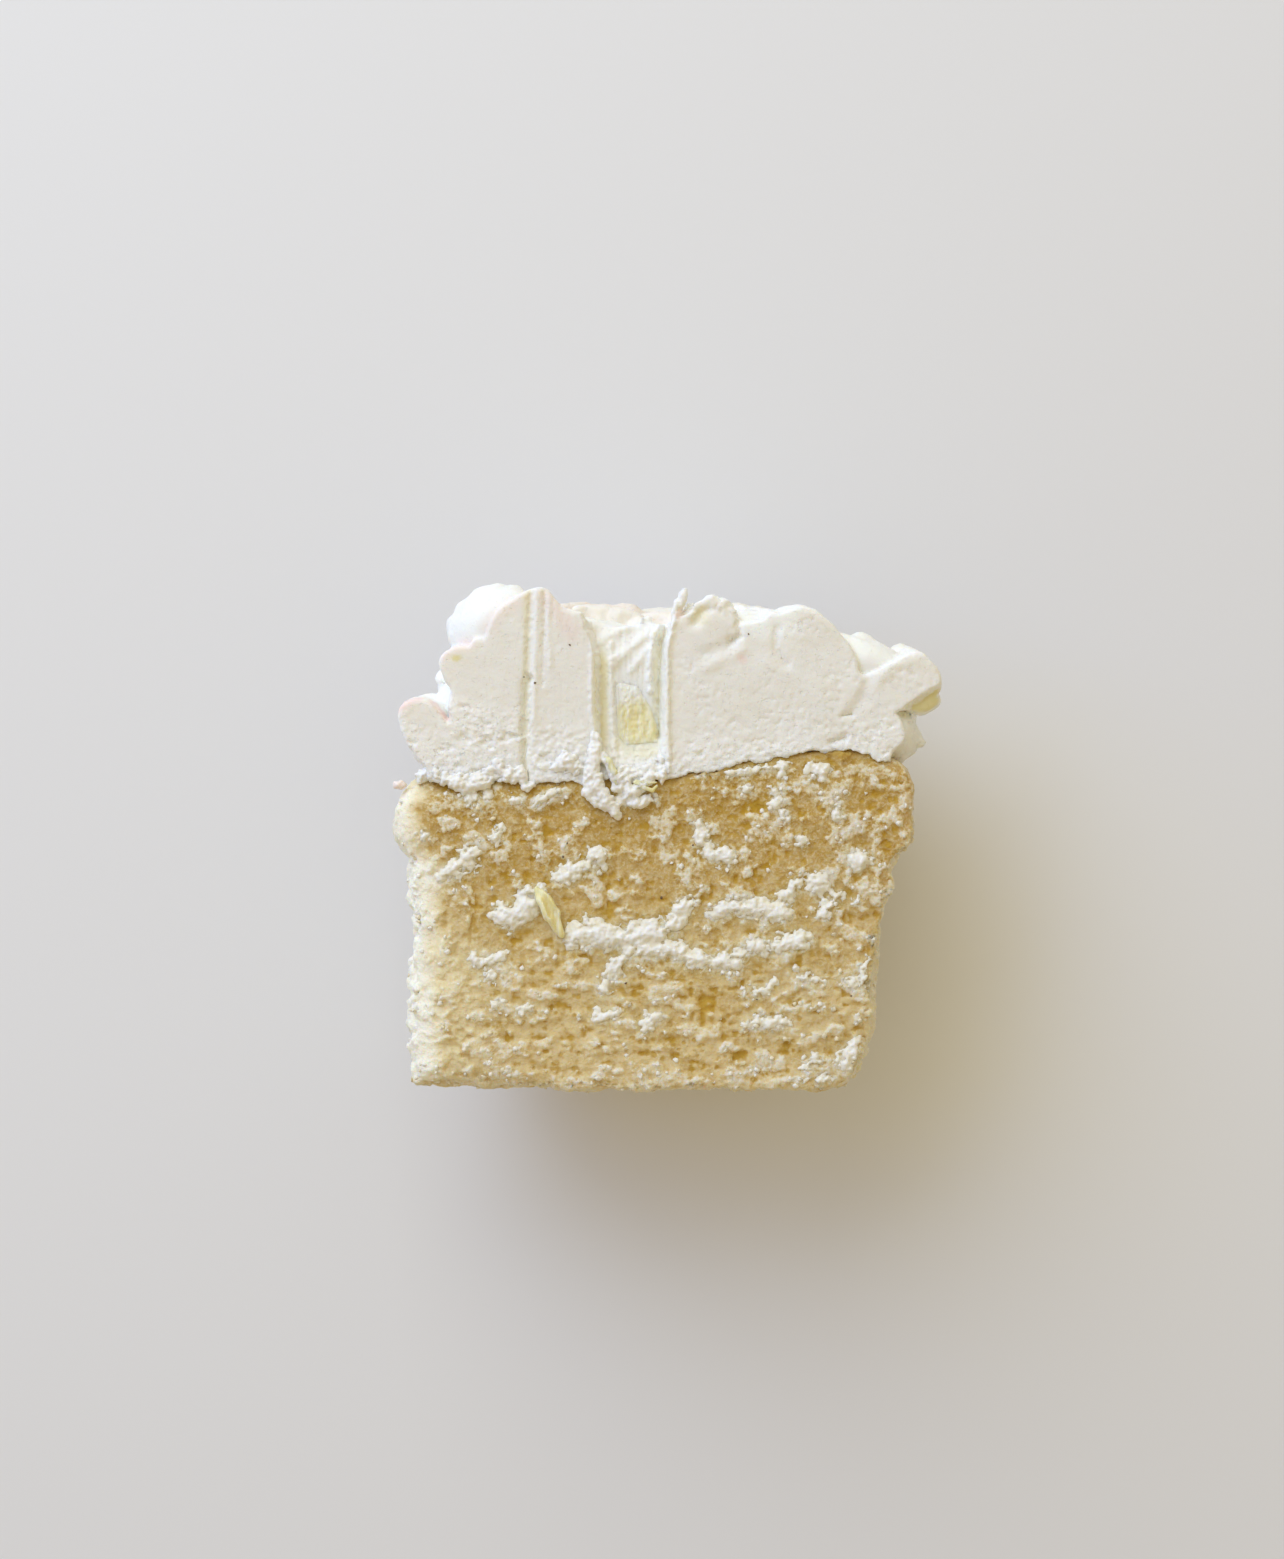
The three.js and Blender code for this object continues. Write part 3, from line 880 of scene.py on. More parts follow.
@dataclass
class Sponge:
    """The half sponge: its cut crumb, torn flanks, browned rim and crown."""

    lie: Lie
    bodies: Bodies
    origin: Array
    step: float = 0.36
    seed: int = 11
    pore_seed: int = 5
    pores: int = 2400
    left_round: float = 4.2  # width of the rounded edge between the cut face and the left flank
    edge_round: float = 1.4
    rim_start: float = 25.6
    crust_depth: float = 1.15
    pleats: int = 36

    # Turns the flank's pattern out of line with the axes.
    SKEW = np.array(((0.8, 0.36, 0.48), (-0.6, 0.48, 0.64), (0.0, -0.8, 0.6)))

    def __post_init__(self) -> None:
        """Draws the relief of the cut face, where it is pale, and where its pores are tinted deep gold:
        partly the crumb's own colour, partly painted shade inside the pores.
        """
        self.face = face = FaceMap(self.seed)
        low = ease(16, 9, face.y)
        ragged = face.rough(0.75, 0.7, 2)
        froth = face.rough(0.55, 0.5, 2, 0.7)
        grain = mix(face.rough(1.1, 1.0, 2, 0.7), face.rough(1.4, 0.85, 2, 0.7), low)
        lumps = mix(face.rough(2.8, 2.5, 2), face.rough(3.3, 1.9, 2), low)
        self.level = 0.25 * face.rough(7.0, 6.5, 1) - 0.1
        relief = self.level + 0.2 * lumps + 0.18 * grain + 0.07 * froth
        depth = np.zeros(face.x.shape)
        draw = np.random.default_rng(self.pore_seed)
        for _ in range(self.pores):
            x, y = draw.uniform(-27, 27), draw.uniform(0, 36)
            wide = 0.2 + 0.62 * draw.random() ** 2.4
            tall = wide * draw.uniform(0.6, 1.05) * (0.72 if y < 12 else 1.0)
            self.sink(depth, (x, y, wide, tall), draw.uniform(0.25, 0.75) * (0.3 + wide))
        for x, y, wide, tall in PORES:
            self.sink(depth, (x, y, wide * 1.35, tall * 1.35), 0.8 + 0.3 * min(wide, tall))
        edge = ease(14, 25, np.abs(face.x)) + ease(19, 23, face.x)
        clump = ease(0.08, 0.4, lumps + 0.5 * grain + 0.12 * low + 0.09 * edge)
        clump = np.maximum(clump, 0.7 * ease(1.5, 0.3, face.y + 1.2 * ragged))
        for width, *line in CRUMB_CLUSTERS:
            part, distance = face.near(line, width + 1.2)
            share = 1.0 - (distance + 0.9 * ragged[part]) / (0.75 * width)
            clump[part] = np.maximum(clump[part], ease(-0.2, 0.6, share))
        for width, *line in SMEARS:
            part, distance = face.near(np.reshape(line, (-1, 2)) - (0.0, 0.3), width + 1.8)
            share = 1.0 - (distance + 1.2 * ragged[part]) / (0.6 * width + 0.9)
            clump[part] = np.maximum(clump[part], ease(-0.1, 0.9, share))
        depth *= 1.0 - 0.8 * clump
        relief += clump * (0.06 + 0.42 * np.abs(froth) + 0.2 * np.abs(grain)) - 0.26 * depth
        self.relief = relief
        # Deep gold that grows with the pores' depth: partly the crumb's own colour, partly painted shade
        # inside the holes.
        self.amber_pore_shade = ease(0.12, 0.6, depth - 0.25 * grain - 0.15 * lumps) * (1.0 - 0.9 * clump)
        self.pale = np.clip(clump * (0.75 + 0.5 * grain + 0.6 * froth), 0.0, 1.0)

    def sink(self, depth: Array, pore: tuple[float, float, float, float], deep: float) -> None:
        """Sinks one pore into a drawing of depths.

        Args:
            depth: The drawing, which is changed.
            pore: The middle of the pore, its half width and half height.
            deep: How deep it is.
        """
        x, y, wide, tall = pore
        part = self.face.window(np.array([(x, y)]), 1.7 * max(wide, tall))
        across, along = self.face.x[part] - x, self.face.y[part] - y
        bend = 0.22 * np.sin(5.1 * across / wide + 9 * x) + 0.18 * np.sin(4.3 * along / tall + 7 * y)
        reach = np.hypot(across / wide, along / tall) + bend
        depth[part] = np.maximum(depth[part], deep * ease(1.15, 0.35, reach))

    def field(self, places: Array) -> Array:
        """Measures the distance to the cut sponge.

        Args:
            places: Places of the cake.

        Returns:
            One distance a place.
        """
        x, y, z = places.T
        spot = self.lie.standing(places)
        body = self.bodies.sponge_distance(spot)
        left = ease(-8, -20, x)
        depth = self.lie.cut - z
        corner = 0.78 * (x - 22.4) - 0.63 * (y - 1.4) - 0.12 * depth
        body = smooth_max(body, corner, 2.0)
        above = z - (self.lie.cut + self.face.read(self.relief, places))
        cut = smooth_max(body, above, mix(self.edge_round, self.left_round, left))
        return smooth_max(cut, -z, 0.3)

    def over_rim(self, places: Array, height: Array) -> Array:
        """Measures how far places are above the wavy line where the browned rim starts."""
        waves = self.face.noise.layered(places / 4.5 + 5.0, 3, 0.6)
        return height - self.rim_start - 3.4 * waves

    def flank(self, places: Array, skin_normals: Array) -> tuple[Array, Array, Array, Array]:
        """Finds how far each place of the flank is torn in or out.

        Args:
            places: The skin's places.
            skin_normals: Its outward directions.

        Returns:
            How far each place moves out, the share of torn flank, its paleness and the depth of its pits.
        """
        noise = self.face.noise
        spot = self.lie.standing(places)
        height = spot.height
        body = self.bodies.sponge_distance(spot)
        outer = ease(0.92, 0.55, skin_normals[:, 2]) * ease(-1.5, -0.5, body)
        torn = outer * ease(0.8, -0.4, self.over_rim(places, height))
        torn *= ease(0, 1.2, height)
        skewed = places @ self.SKEW
        wide = noise.layered(skewed / 4.3, 3, 0.6)
        fine = noise.layered(skewed / 1.1 + 40.0, 3, 0.6)
        holes = ease(0.16, 0.42, noise.layered(skewed / 1.7 + 90.0, 2))
        move = torn * (1.7 * wide + 0.5 * fine - 0.5 * holes - 0.1)
        smooth_part = outer - torn
        pits = ease(0.28, 0.5, noise.layered(skewed / 1.2 + 10.0, 2))
        move += smooth_part * (0.4 * noise.at(places / 3.7 + 20.0) + 0.3 * fine - 0.35 * pits)
        base = ease(0.9, 0.3, height) * ease(-1.2, -0.5, body)
        ripple = np.abs(np.sin(0.5 * self.pleats * spot.turn + 0.8 * noise.at(places / 5.0 + 60.0)))
        pleat = ease(0.5, 0, ripple) * ease(18.5, 23.5, spot.radius + 2.0 * wide)
        dimple = ease(0, 0.5, noise.layered(places / 2.3 + 30.0, 3, 0.6))
        move -= base * (0.4 * pleat + 0.45 * dimple * (1.0 - pleat) + 0.25 * holes - 0.2)
        pits = np.maximum(pits, base * np.maximum(0.8 * dimple, pleat))
        move *= ease(0, 1, places[:, 2])
        return move, torn, np.clip(0.5 + 2.2 * fine - holes, 0.0, 1.0), torn * holes + smooth_part * pits

    def build(self) -> Thing:
        """Makes the sponge.

        Returns:
            The piece, with its tints.
        """
        box = (-32.0, -1.0, -0.6), (29.5, 39.5, 31.8)
        skin, normals = faced(self.field, box, self.step, (0.35, self.lie.cut - 3.5), (0.3, 0.25))
        places, up = skin.places, normals[:, 2]
        x, _, z = places.T
        move, torn, torn_pale, pitted = self.flank(places, normals)
        spot = self.lie.standing(places)
        height, body = spot.height, self.bodies.sponge_distance(spot)
        crust = ease(-self.crust_depth, -0.35 * self.crust_depth, body + 0.25 * np.sin(x))
        crust *= ease(-0.6, 0.7, self.over_rim(places, height))
        crust *= mix(1.0, 0.3, ease(21, 25, x) * ease(25, 28.5, z))
        foot = ease(1, 0.2, height) * ease(-0.8, -0.3, body)
        on_face = ease(0.25, 0.6, up) * ease(3.4, 2, self.lie.cut - z)
        on_face *= (1.0 - torn) * (1.0 - 0.85 * crust)
        waves = self.face.noise.layered(places / 3.0 + 70.0, 2)
        # Painted highlight: the rounded left edge and the lower left of the flank are painted near-white
        # cream, where the light from the upper left falls on them.
        painted_highlight = ease(-21, -26.8, x + 2.4 * ease(24, 27, height) + 1.6 * waves)
        painted_highlight *= 1.0 - 0.2 * crust
        brink = 0.8 * ease(24, 28.5, z + 2.0 * waves) * ease(0.85, 0.5, up)
        painted_highlight = np.maximum(painted_highlight, 0.32 * ease(-15, -23, x) * ease(24, 14, height))
        torn_pale = np.maximum(torn * torn_pale, brink)
        tints = {
            "pale": np.maximum(on_face * self.face.read(self.pale, places), torn_pale),
            # The deep gold tint is partly painted shade: in the cut face's pores and, at half strength, in
            # the flank's pits.
            "amber_pore_shade": np.maximum(on_face * self.face.read(self.amber_pore_shade, places), 0.5 * pitted),
            "crust": np.maximum(crust * (1.0 - 0.5 * ease(0.1, 0.5, waves)), foot * (0.35 + 0.3 * waves)),
            "crown": ease(30, 33.5, height),
            "torn": torn,
            "painted_highlight": painted_highlight * ease(8, 20, z) * ease(0.2, 1.4, height),
        }
        skin = Skin(places + normals * move[:, None], skin.faces)
        piece = skin.piece("sponge_crumb", self.origin, CrumbFinish().material(), tints)
        finished(piece, "sponge_crumb", "sponge")
        return piece


def finished(piece: Thing, slot: str, *nodes: str) -> None:
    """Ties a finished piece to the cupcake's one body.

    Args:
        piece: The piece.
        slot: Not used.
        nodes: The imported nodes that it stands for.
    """
    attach(piece, BODY)
    if nodes:
        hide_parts(*nodes)
    triangles = sum(len(face.vertices) - 2 for face in piece.data.polygons)
    LOG.info("%s: %d triangles", piece.name, triangles)


@dataclass(frozen=True)
class PetalRing:
    """A ring of piped petals, each a bent sheet with a rounded edge."""

    count: int
    root: Point  # radius and height where the petals grow out
    bend: Point
    tip: Point
    thickness: Point  # half thickness at the root and at the tip
    first: float  # the turn of the first petal, in petals
    seed: int
    drawn_in: Point = (0.0, 0.0)  # how far petals beside the cut face are drawn in and down
    reach: float = 1.12  # half width of a petal, in half petal distances

    def nearest(self, spot: Standing) -> tuple[Array, Array, Array]:
        """Measures the distance to the ring's petals.

        Args:
            spot: The standing places.

        Returns:
            The distances, how far along its nearest petal each place is, and that petal's pinkness.
        """
        draw = np.random.default_rng(self.seed)
        nearest = np.full(len(spot.radius), 9.0)
        along = np.zeros(len(spot.radius))
        pink = np.zeros(len(spot.radius))
        half = math.pi / self.count
        for number in range(self.count):
            shift = draw.uniform(-1, 1, 6)
            centre = (number + self.first + 0.12 * shift[0]) * 2 * half % (2 * math.pi)
            if not 0.2 < centre < math.pi - 0.2:
                continue
            away = np.mod(spot.turn - centre + math.pi, 2 * math.pi) - math.pi
            near = np.flatnonzero(np.abs(away) < 2.1 * half)
            if not len(near):
                continue
            share = away[near] / half
            ruffle = 0.35 * np.sin(3.4 * share + 3 * shift[1]) + 0.2 * np.sin(7.7 * share + 9 * shift[2])
            lobe = 1.0 - 0.24 * share**2 + 0.05 * shift[3]
            beside = ease(0.95, 0.45, min(centre, math.pi - centre))
            out = 0.85 * share + 0.7 * shift[4] + ruffle * 0.5 - self.drawn_in[0] * beside
            up = 0.5 * ruffle + 0.5 * shift[5] - self.drawn_in[1] * beside
            radius, height = spot.radius[near], spot.height[near]
            knots = zip((self.root, self.bend, self.tip), (0.4, 0.8, 1.0))
            starts = [(knot[0] + out * weight, knot[1] + up * weight) for knot, weight in knots]
            starts[2] = [mix(low, high, lobe * 1.3 - 0.3) for low, high in zip(starts[1], starts[2])]
            best = np.full(len(near), 9.0)
            place = np.zeros(len(near))
            for part in range(2):
                (r0, h0), (r1, h1) = starts[part], starts[part + 1]
                dr, dh = r1 - r0, h1 - h0
                t = np.clip(((radius - r0) * dr + (height - h0) * dh) / (dr * dr + dh * dh), 0.0, 1.0)
                gap = np.hypot(radius - r0 - t * dr, height - h0 - t * dh)
                aside = np.maximum(np.abs(share) - self.reach, 0.0) * half * radius
                thick = mix(self.thickness[0], self.thickness[1], (t + part) / 2)
                distance = np.hypot(gap, aside) - thick
                place = np.where(distance < best, (t + part) / 2, place)
                best = np.minimum(best, distance)
            closer = best < nearest[near]
            chosen = near[closer]
            along[chosen] = place[closer]
            pink[chosen] = max(shift[1], 0.0)
            nearest[near] = smooth_min(nearest[near], best, 0.3)
        return nearest, along, pink


def ellipsoid(places: Array, middle: Sequence[float], radii: Sequence[float], turn: float = 0.0) -> Array:
    """Measures the distance to an ellipsoid, which is close to true near its surface.

    Args:
        places: The places.
        middle: Its middle.
        radii: Its three radii.
        turn: How far it is turned about the vertical, in radians.

    Returns:
        One distance a place.
    """
    gap = places - middle
    if turn:
        cos, sin = math.cos(turn), math.sin(turn)
        x, y, z = gap.T
        gap = np.stack([x * cos + y * sin, y * cos - x * sin, z], axis=1)
    inner = gap / radii
    length = np.linalg.norm(inner, axis=1)
    steep = np.linalg.norm(inner / radii, axis=1)
    return length * (length - 1.0) / np.maximum(steep, 1e-6)


def strand(places: Array, knots: Sequence[Sequence[float]]) -> Array:
    """Measures the distance to a strand.

    Args:
        places: The places.
        knots: Each knot's place and radius.

    Returns:
        One distance a place.
    """
    nearest = np.full(len(places), 99.0)
    given = np.reshape(knots, (-1, 4))
    for start, end in zip(given, given[1:]):
        run = end[:3] - start[:3]
        share = np.clip(((places - start[:3]) @ run) / (run @ run), 0.0, 1.0)
        gap = np.linalg.norm(places - start[:3] - share[:, None] * run, axis=1)
        nearest = smooth_min(nearest, gap - mix(start[3], end[3], share), 0.15)
    return nearest


@dataclass
class Buttercream:
    """The half icing: piped petals, the knife's cut face and the trough in it."""

    lie: Lie
    bodies: Bodies
    origin: Array
    step: float = 0.31
    seed: int = 23
    overlap: float = 0.45  # how far the icing is sunk into the crown
    rings: tuple[PetalRing, ...] = (
        PetalRing(11, (24.0, 36.0), (27.6, 38.6), (29.6, 42.0), (2.4, 0.95), 0.62, 3, (2.8, 2.4)),
        PetalRing(10, (21.0, 41.5), (25.6, 43.6), (27.8, 46.6), (2.2, 0.85), 0.2, 7, (4.8, 1.4)),
        PetalRing(8, (17.0, 46.0), (20.8, 48.0), (21.4, 51.2), (2.2, 0.9), 0.55, 5, (3.2, 1.6)),
        PetalRing(6, (9.5, 46.5), (12.4, 48.6), (13.2, 51.2), (2.2, 0.9), 0.3, 9),
    )
    # Petals and curls behind the cut face: middle, radii and turn of each.
    bulges: tuple[tuple[float, ...], ...] = (
        (-17.4, 50.3, 24.4, 5.8, 5.0, 5.6, 0.25), (24.0, 46.3, 24.6, 5.7, 2.9, 5.0, -0.45),
        (10.5, 49.4, 24.8, 6.8, 3.1, 5.2, 0.0), (6.3, 51.0, 26.3, 2.7, 2.8, 3.0, 0.15),
        (26.6, 38.9, 23.8, 2.9, 3.4, 5.8, 0.0), (29.6, 42.2, 27.5, 2.1, 1.4, 1.8, 0.2),
        (6.0, 50.4, 28.6, 3.0, 2.5, 2.2, 0.0), (15.6, 49.8, 26.6, 3.4, 2.8, 3.3, -0.3),
        (-7.0, 49.6, 24.6, 5.4, 2.0, 4.6, -0.15),
    )

    def __post_init__(self) -> None:
        """Draws the relief of the cut face, where it is torn, and where it is tinted yellow: yellow
        buttercream in places, painted shade in grooves and hollows.
        """
        self.face = face = FaceMap(self.seed)
        x, y = face.x, face.y
        ragged = face.rough(0.9, 0.9, 3, 0.6)
        fibres = face.rough(0.35, 6.0, 2, 0.7)
        curls = face.rough(0.8, 0.6, 3, 0.7)
        drift = face.rough(6.0, 4.5, 2)
        fine = face.rough(0.42, 0.42, 2, 0.7)
        froth = face.rough(0.55, 0.45, 2, 0.7)
        relief = 0.16 * face.rough(7.0, 7.0, 1) + 0.03 * face.rough(1.9, 1.5, 2)
        right = ease(1.5, 4, x)
        pits = ease(0.08, 0.34, face.rough(0.75, 0.6, 2, 0.6, -0.5)) * ease(-0.3, 0.3, drift)
        relief -= pits * mix(0.03, 0.09, right)
        relief += 0.02 * fine + 0.1 * right * face.rough(4.2, 1.5, 2, 0.5, -0.5)
        # The left part is torn and curly towards the sponge, and smooth above.
        torn = ease(44, 38.5, y + 2.6 * ragged + 8.0 * drift) * ease(-12.6, -14.6, x)
        torn = np.maximum(torn, 0.8 * ease(37.8, 35.2, y + 2.0 * ragged))
        patchy = ease(-0.3, 0.3, face.rough(3.0, 2.2, 3, 0.6))
        curls = mix(curls, face.rough(1.9, 0.8, 3, 0.6, 0.3), 0.25)
        holes = ease(0.05, 0.4, face.rough(1.7, 0.8, 2, 0.6, -0.2)) * patchy
        curly = (0.06 + 0.1 * patchy) * froth + (0.02 + 0.27 * patchy) * curls
        relief += torn * (curly - 0.34 * holes + 0.08)
        middle = ease(-14.2, -13, x) * ease(-6.6, -8, x)
        drawn = ease(-9.6, -11.6, x + 1.6 * ragged) * ease(42, 47, y)
        relief += middle * ((0.03 + 0.14 * drawn) * fibres * ease(36, 40, y) + 0.12)
        start = 42.6 + 0.6 * np.minimum(x + 8.0, 0.0) - 5.0 * drift - 2.0 * ragged
        middle *= ease(0, 3.5, start - y)
        relief += middle * (0.18 * froth + 0.25 * curls)
        foot = right * ease(39.6, 35.6, y - 0.12 * x + 1.6 * ragged + 3.0 * drift)
        relief += foot * (0.06 * froth + 0.1 * curls - 0.2 * holes)
        self.torn = np.maximum(torn, 0.6 * foot)
        self.cut_trough(relief, fibres, ragged)
        fray = 0.4 * ragged
        for width, height, *line in KNIFE_LINES:
            face.groove(relief, fray, line, width, height)
        # Under the hooked petal's torn edge its shaded underside lies lower.
        below = 0.56 * (x - 27.0) - 0.83 * (y - 41.4) + 0.25 * ragged
        self.hollow = ease(-0.1, 0.8, below) * ease(26.4, 27.6, x) * ease(40.2, 40.8, y)
        relief -= 1.1 * self.hollow
        self.relief = relief
        self.yellow = self.tint_yellow_and_shade(ragged)

    def cut_trough(self, relief: Array, fibres: Array, ragged: Array) -> None:
        """Sinks the knife's trough and its ridges into the cut face.

        Args:
            relief: The drawing of the cut face, which is changed.
            fibres: Noise that is stretched along the trough.
            ragged: Noise that frays its edges.
        """
        x, y = self.face.x, self.face.y
        open_end = ease(46, 53, y)
        left = -6.7 - 1.6 * open_end + 0.35 * ragged
        right = 1.2 + 1.0 * open_end + 0.3 * ragged
        share = ease(0, 0.9, x - left) * ease(0, 0.7, right - x)
        share *= ease(33.6, 38.4, y + 0.8 * ragged)
        deep = mix(1.35, 2.6, ease(46.5, 52.5, y))
        relief *= 1.0 - 0.8 * share
        relief -= share * (deep - 0.13 * fibres)
        for width, height, *line in TROUGH_LINES:
            self.face.groove(relief, 0.36 * ragged, line, width, height)

    def tint_yellow_and_shade(self, ragged: Array) -> Array:
        """Draws the cut face's yellow tint: yellow buttercream at the dot and the patch, and painted shade
        in the deeper strip, the channel, the knife line, the arch and under the hooked petal.

        Args:
            ragged: Noise that frays its edges.

        Returns:
            A share from 0 to 1 a place of the face.
        """
        x, y = self.face.x, self.face.y
        # Painted shade: the deeper strip beside the trough is tinted olive yellow.
        strip = ease(1, 0.5, np.abs(x + 6.0) + 0.3 * ragged)
        strip *= ease(36.6, 38.6, y) * ease(48.4, 46.6, y)
        patch = ease(3.5, 2, np.hypot((x + 1.8) / 0.95, (y - 38.8) / 1.15) + 0.9 * ragged)
        patch *= ease(-5, -4.4, x)
        # Painted shade, tinted yellow: the trough's channel (hollow), the knife's groove (line) and the
        # arch's hollow (arch); the dot is yellow buttercream.
        hollow = ease(1.2, 0.2, np.abs(x - 0.45) + 0.3 * ragged) * ease(37, 40, y) * 0.8
        dot = 1.8 * ease(0.65, 0.3, np.hypot(x + 21.9, (y - 47.0) * 1.3) + 0.3 * ragged)
        line = 0.5 * ease(0.6, 0.2, np.abs(x + 14.1)) * ease(33, 36, y)
        arch = ease(1.6, 0.4, np.hypot((x - 5.0) / 0.9, y - 51.6)) * 0.8
        hollow *= y < 50
        # The hooked petal's shaded underside is tinted yellow too: painted shade.
        return np.maximum.reduce([strip, 0.7 * patch, hollow, dot, line, arch, 1.7 * self.hollow])

    def flank_petals(self, spot: Standing) -> Array:
        """Measures the distance to the cut petals of the two flanks.

        Args:
            spot: The standing places.

        Returns:
            One distance a place.
        """
        height = spot.height
        from_right = np.abs(np.mod(spot.turn + math.pi, 2 * math.pi) - math.pi)
        from_left = math.pi - from_right
        reach_left = mix(0.30, 0.42, ease(42.6, 43.6, height)) - 0.1 * ease(48, 49.4, height)
        reach_right = mix(0.34, 0.36, ease(40.6, 41.8, height)) + 0.04 * ease(46.5, 48.5, height)
        ends_left = (from_left - reach_left) * spot.radius
        ends_right = (from_right - reach_right) * spot.radius
        left = smooth_max(self.bodies.icing_left.distance(spot.radius, height), ends_left, 2.4)
        right = smooth_max(self.bodies.icing_right.distance(spot.radius, height), ends_right, 2.4)
        return np.minimum(left, right)

    def whole(self, places: Array) -> Array:
        """Measures the distance to the uncut icing.

        Args:
            places: Places of the cake.

        Returns:
            One distance a place.
        """
        spot = self.lie.standing(places)
        distance = self.bodies.icing_heart.distance(spot.radius, spot.height)
        distance = smooth_min(distance, self.flank_petals(spot), 0.5)
        for ring in self.rings:
            distance = smooth_min(distance, ring.nearest(spot)[0], 0.45)
        for *sizes, turn in self.bulges:
            distance = smooth_min(distance, ellipsoid(places, sizes[:3], sizes[3:], turn), 0.35)
        return distance

    def curls(self, places: Array) -> Array:
        """Measures the distance to the small curls and peaks along the upper edge.

        Args:
            places: Places of the cake.

        Returns:
            One distance a place.
        """
        knots = (
            (1.4, 49.8, 29.2, 0.8, 2, 51.4, 29.4, 0.75, 2.5, 52.8, 29.6, 0.65, 3.1, 53.9, 29.6, 0.5),
            (3.1, 53.9, 29.6, 0.5, 3.5, 54.6, 29.6, 0.26), (2.4, 52.4, 29.5, 0.4, 2.2, 53.3, 29.4, 0.2),
            (2.9, 51.2, 28.8, 0.6, 3.8, 52.6, 28.6, 0.4, 4.4, 53.2, 28.4, 0.25),
            (-0.9, 51, 28, 0.8, -0.3, 52.2, 28.2, 0.3),
            (9, 49, 29.2, 1.1, 10.3, 49.7, 29.3, 1, 11.4, 49.2, 29.1, 1),
            (28.2, 38.4, 26, 1.4, 30, 37.7, 25.6, 0.35),
            (3.9, 50.4, 29.4, 0.9, 4.8, 52.4, 29.5, 0.7, 6.2, 53.2, 29.4, 0.75, 7.4, 52.6, 29.3, 0.85),
            (7.4, 52.6, 29.3, 0.85, 8.4, 51, 29.3, 0.95, 8.9, 49.4, 29.2, 0.95),
        )
        nearest = np.full(len(places), 99.0)
        for line in knots:
            nearest = smooth_min(nearest, strand(places, line), 0.3)
        return nearest + 0.42 * self.face.noise.layered(places / 0.75, 2, 0.6)

    def field(self, places: Array) -> Array:
        """Measures the distance to the cut icing.

        Args:
            places: Places of the cake.

        Returns:
            One distance a place.
        """
        _, _, z = places.T
        spot = self.lie.standing(places)
        swell = self.face.noise.layered(places / 4.2 + 8.0, 2) * ease(28, 17, z)
        folds = np.abs(self.face.noise.at(places / 3.6 + 50.0))
        beside = ease(28, 25, z) * ease(15, 21, z)
        swell += (0.15 - 0.8 * folds) * beside
        whole = smooth_min(self.whole(places) + swell, self.curls(places), 0.4)
        above = z - self.lie.cut - self.face.read(self.relief, places)
        cut = smooth_max(whole, above, 0.45)
        ragged = 0.8 * self.face.read(self.ragged_foot, places)
        lap = ease(self.lie.cut - 1.6, self.lie.cut - 0.3, z) * ragged
        cut = smooth_max(cut, -(self.bodies.sponge_distance(spot) + self.overlap + lap), 0.2)
        cut = smooth_max(cut, -(YellowCore.shape(places) + YellowCore.GAP), 0.1)
        return smooth_max(cut, 0.02 - z, 0.3)

    def build(self) -> None:
        """Makes the icing."""
        face = self.face
        self.ragged_foot = 1.3 * face.rough(2.1, 2.1, 3, 0.6) + 0.35 * ease(-2, -8, face.x)
        box = (-31.5, 30.0, -0.6), (33.0, 57.0, 31.6)
        skin, normals = faced(self.field, box, self.step, (0.4, self.lie.cut - 3.2), (0.25, 0.2))
        tints, piped = self.tints(skin.places, normals)
        grain = face.noise.layered(skin.places / 0.9, 2, 0.6)
        folds = face.noise.layered(skin.places / 3.2 + 30.0, 2)
        move = piped * (0.13 * grain + 0.3 * folds) * ease(0, 1, skin.places[:, 2])
        skin = Skin(skin.places + normals * move[:, None], skin.faces)
        piece = skin.piece("icing", self.origin, IcingFinish().material(), tints)
        finished(piece, "buttercream", "buttercream")

    def tints(self, places: Array, normals: Array) -> tuple[dict[str, Array], Array]:
        """Works out the icing's tints.

        Args:
            places: The skin's places.
            normals: The skin's outward directions.

        Returns:
            The named tints, and how much each place is piped rather than cut.
        """
        x, y, z = places.T
        spot = self.lie.standing(places)
        on_face = ease(0.35, 0.75, normals[:, 2]) * ease(3.2, 2.2, self.lie.cut - z)
        level = self.face.read(self.relief, places)
        below = self.lie.cut + level - z
        curl = ease(0.7, 1.3, np.hypot((x - 12.4) / 3.2, (y - 50.8) / 1.8))
        pink = np.zeros(len(places))
        high = ease(3, 1.6, self.lie.cut - z)
        for wide, strength, *line in PINK_EDGES:
            away = line_distance(np.reshape(line, (-1, 2)), places[:, :2])
            pink = np.maximum(pink, strength * high * ease(wide, 0.15 * wide, away))
        for ring in self.rings:
            distance, along, strength = ring.nearest(spot)
            edge = ease(0.8, 0.3, distance) * ease(0.62, 0.95, along) * (1.0 - on_face)
            pink = np.maximum(pink, 0.36 * edge * strength)
        tints = {
            "pink": pink,
            # Yellow tint: yellow buttercream at the dot and the patch, painted shade in grooves and hollows.
            "yellow": on_face * self.face.read(self.yellow, places),
            "cut": on_face * (1.0 - 0.5 * ease(-0.7, -1.2, level)) * ease(0.9, 0.4, below) * curl,
            "torn": self.face.read(self.torn, places),
        }
        return tints, 1.0 - on_face


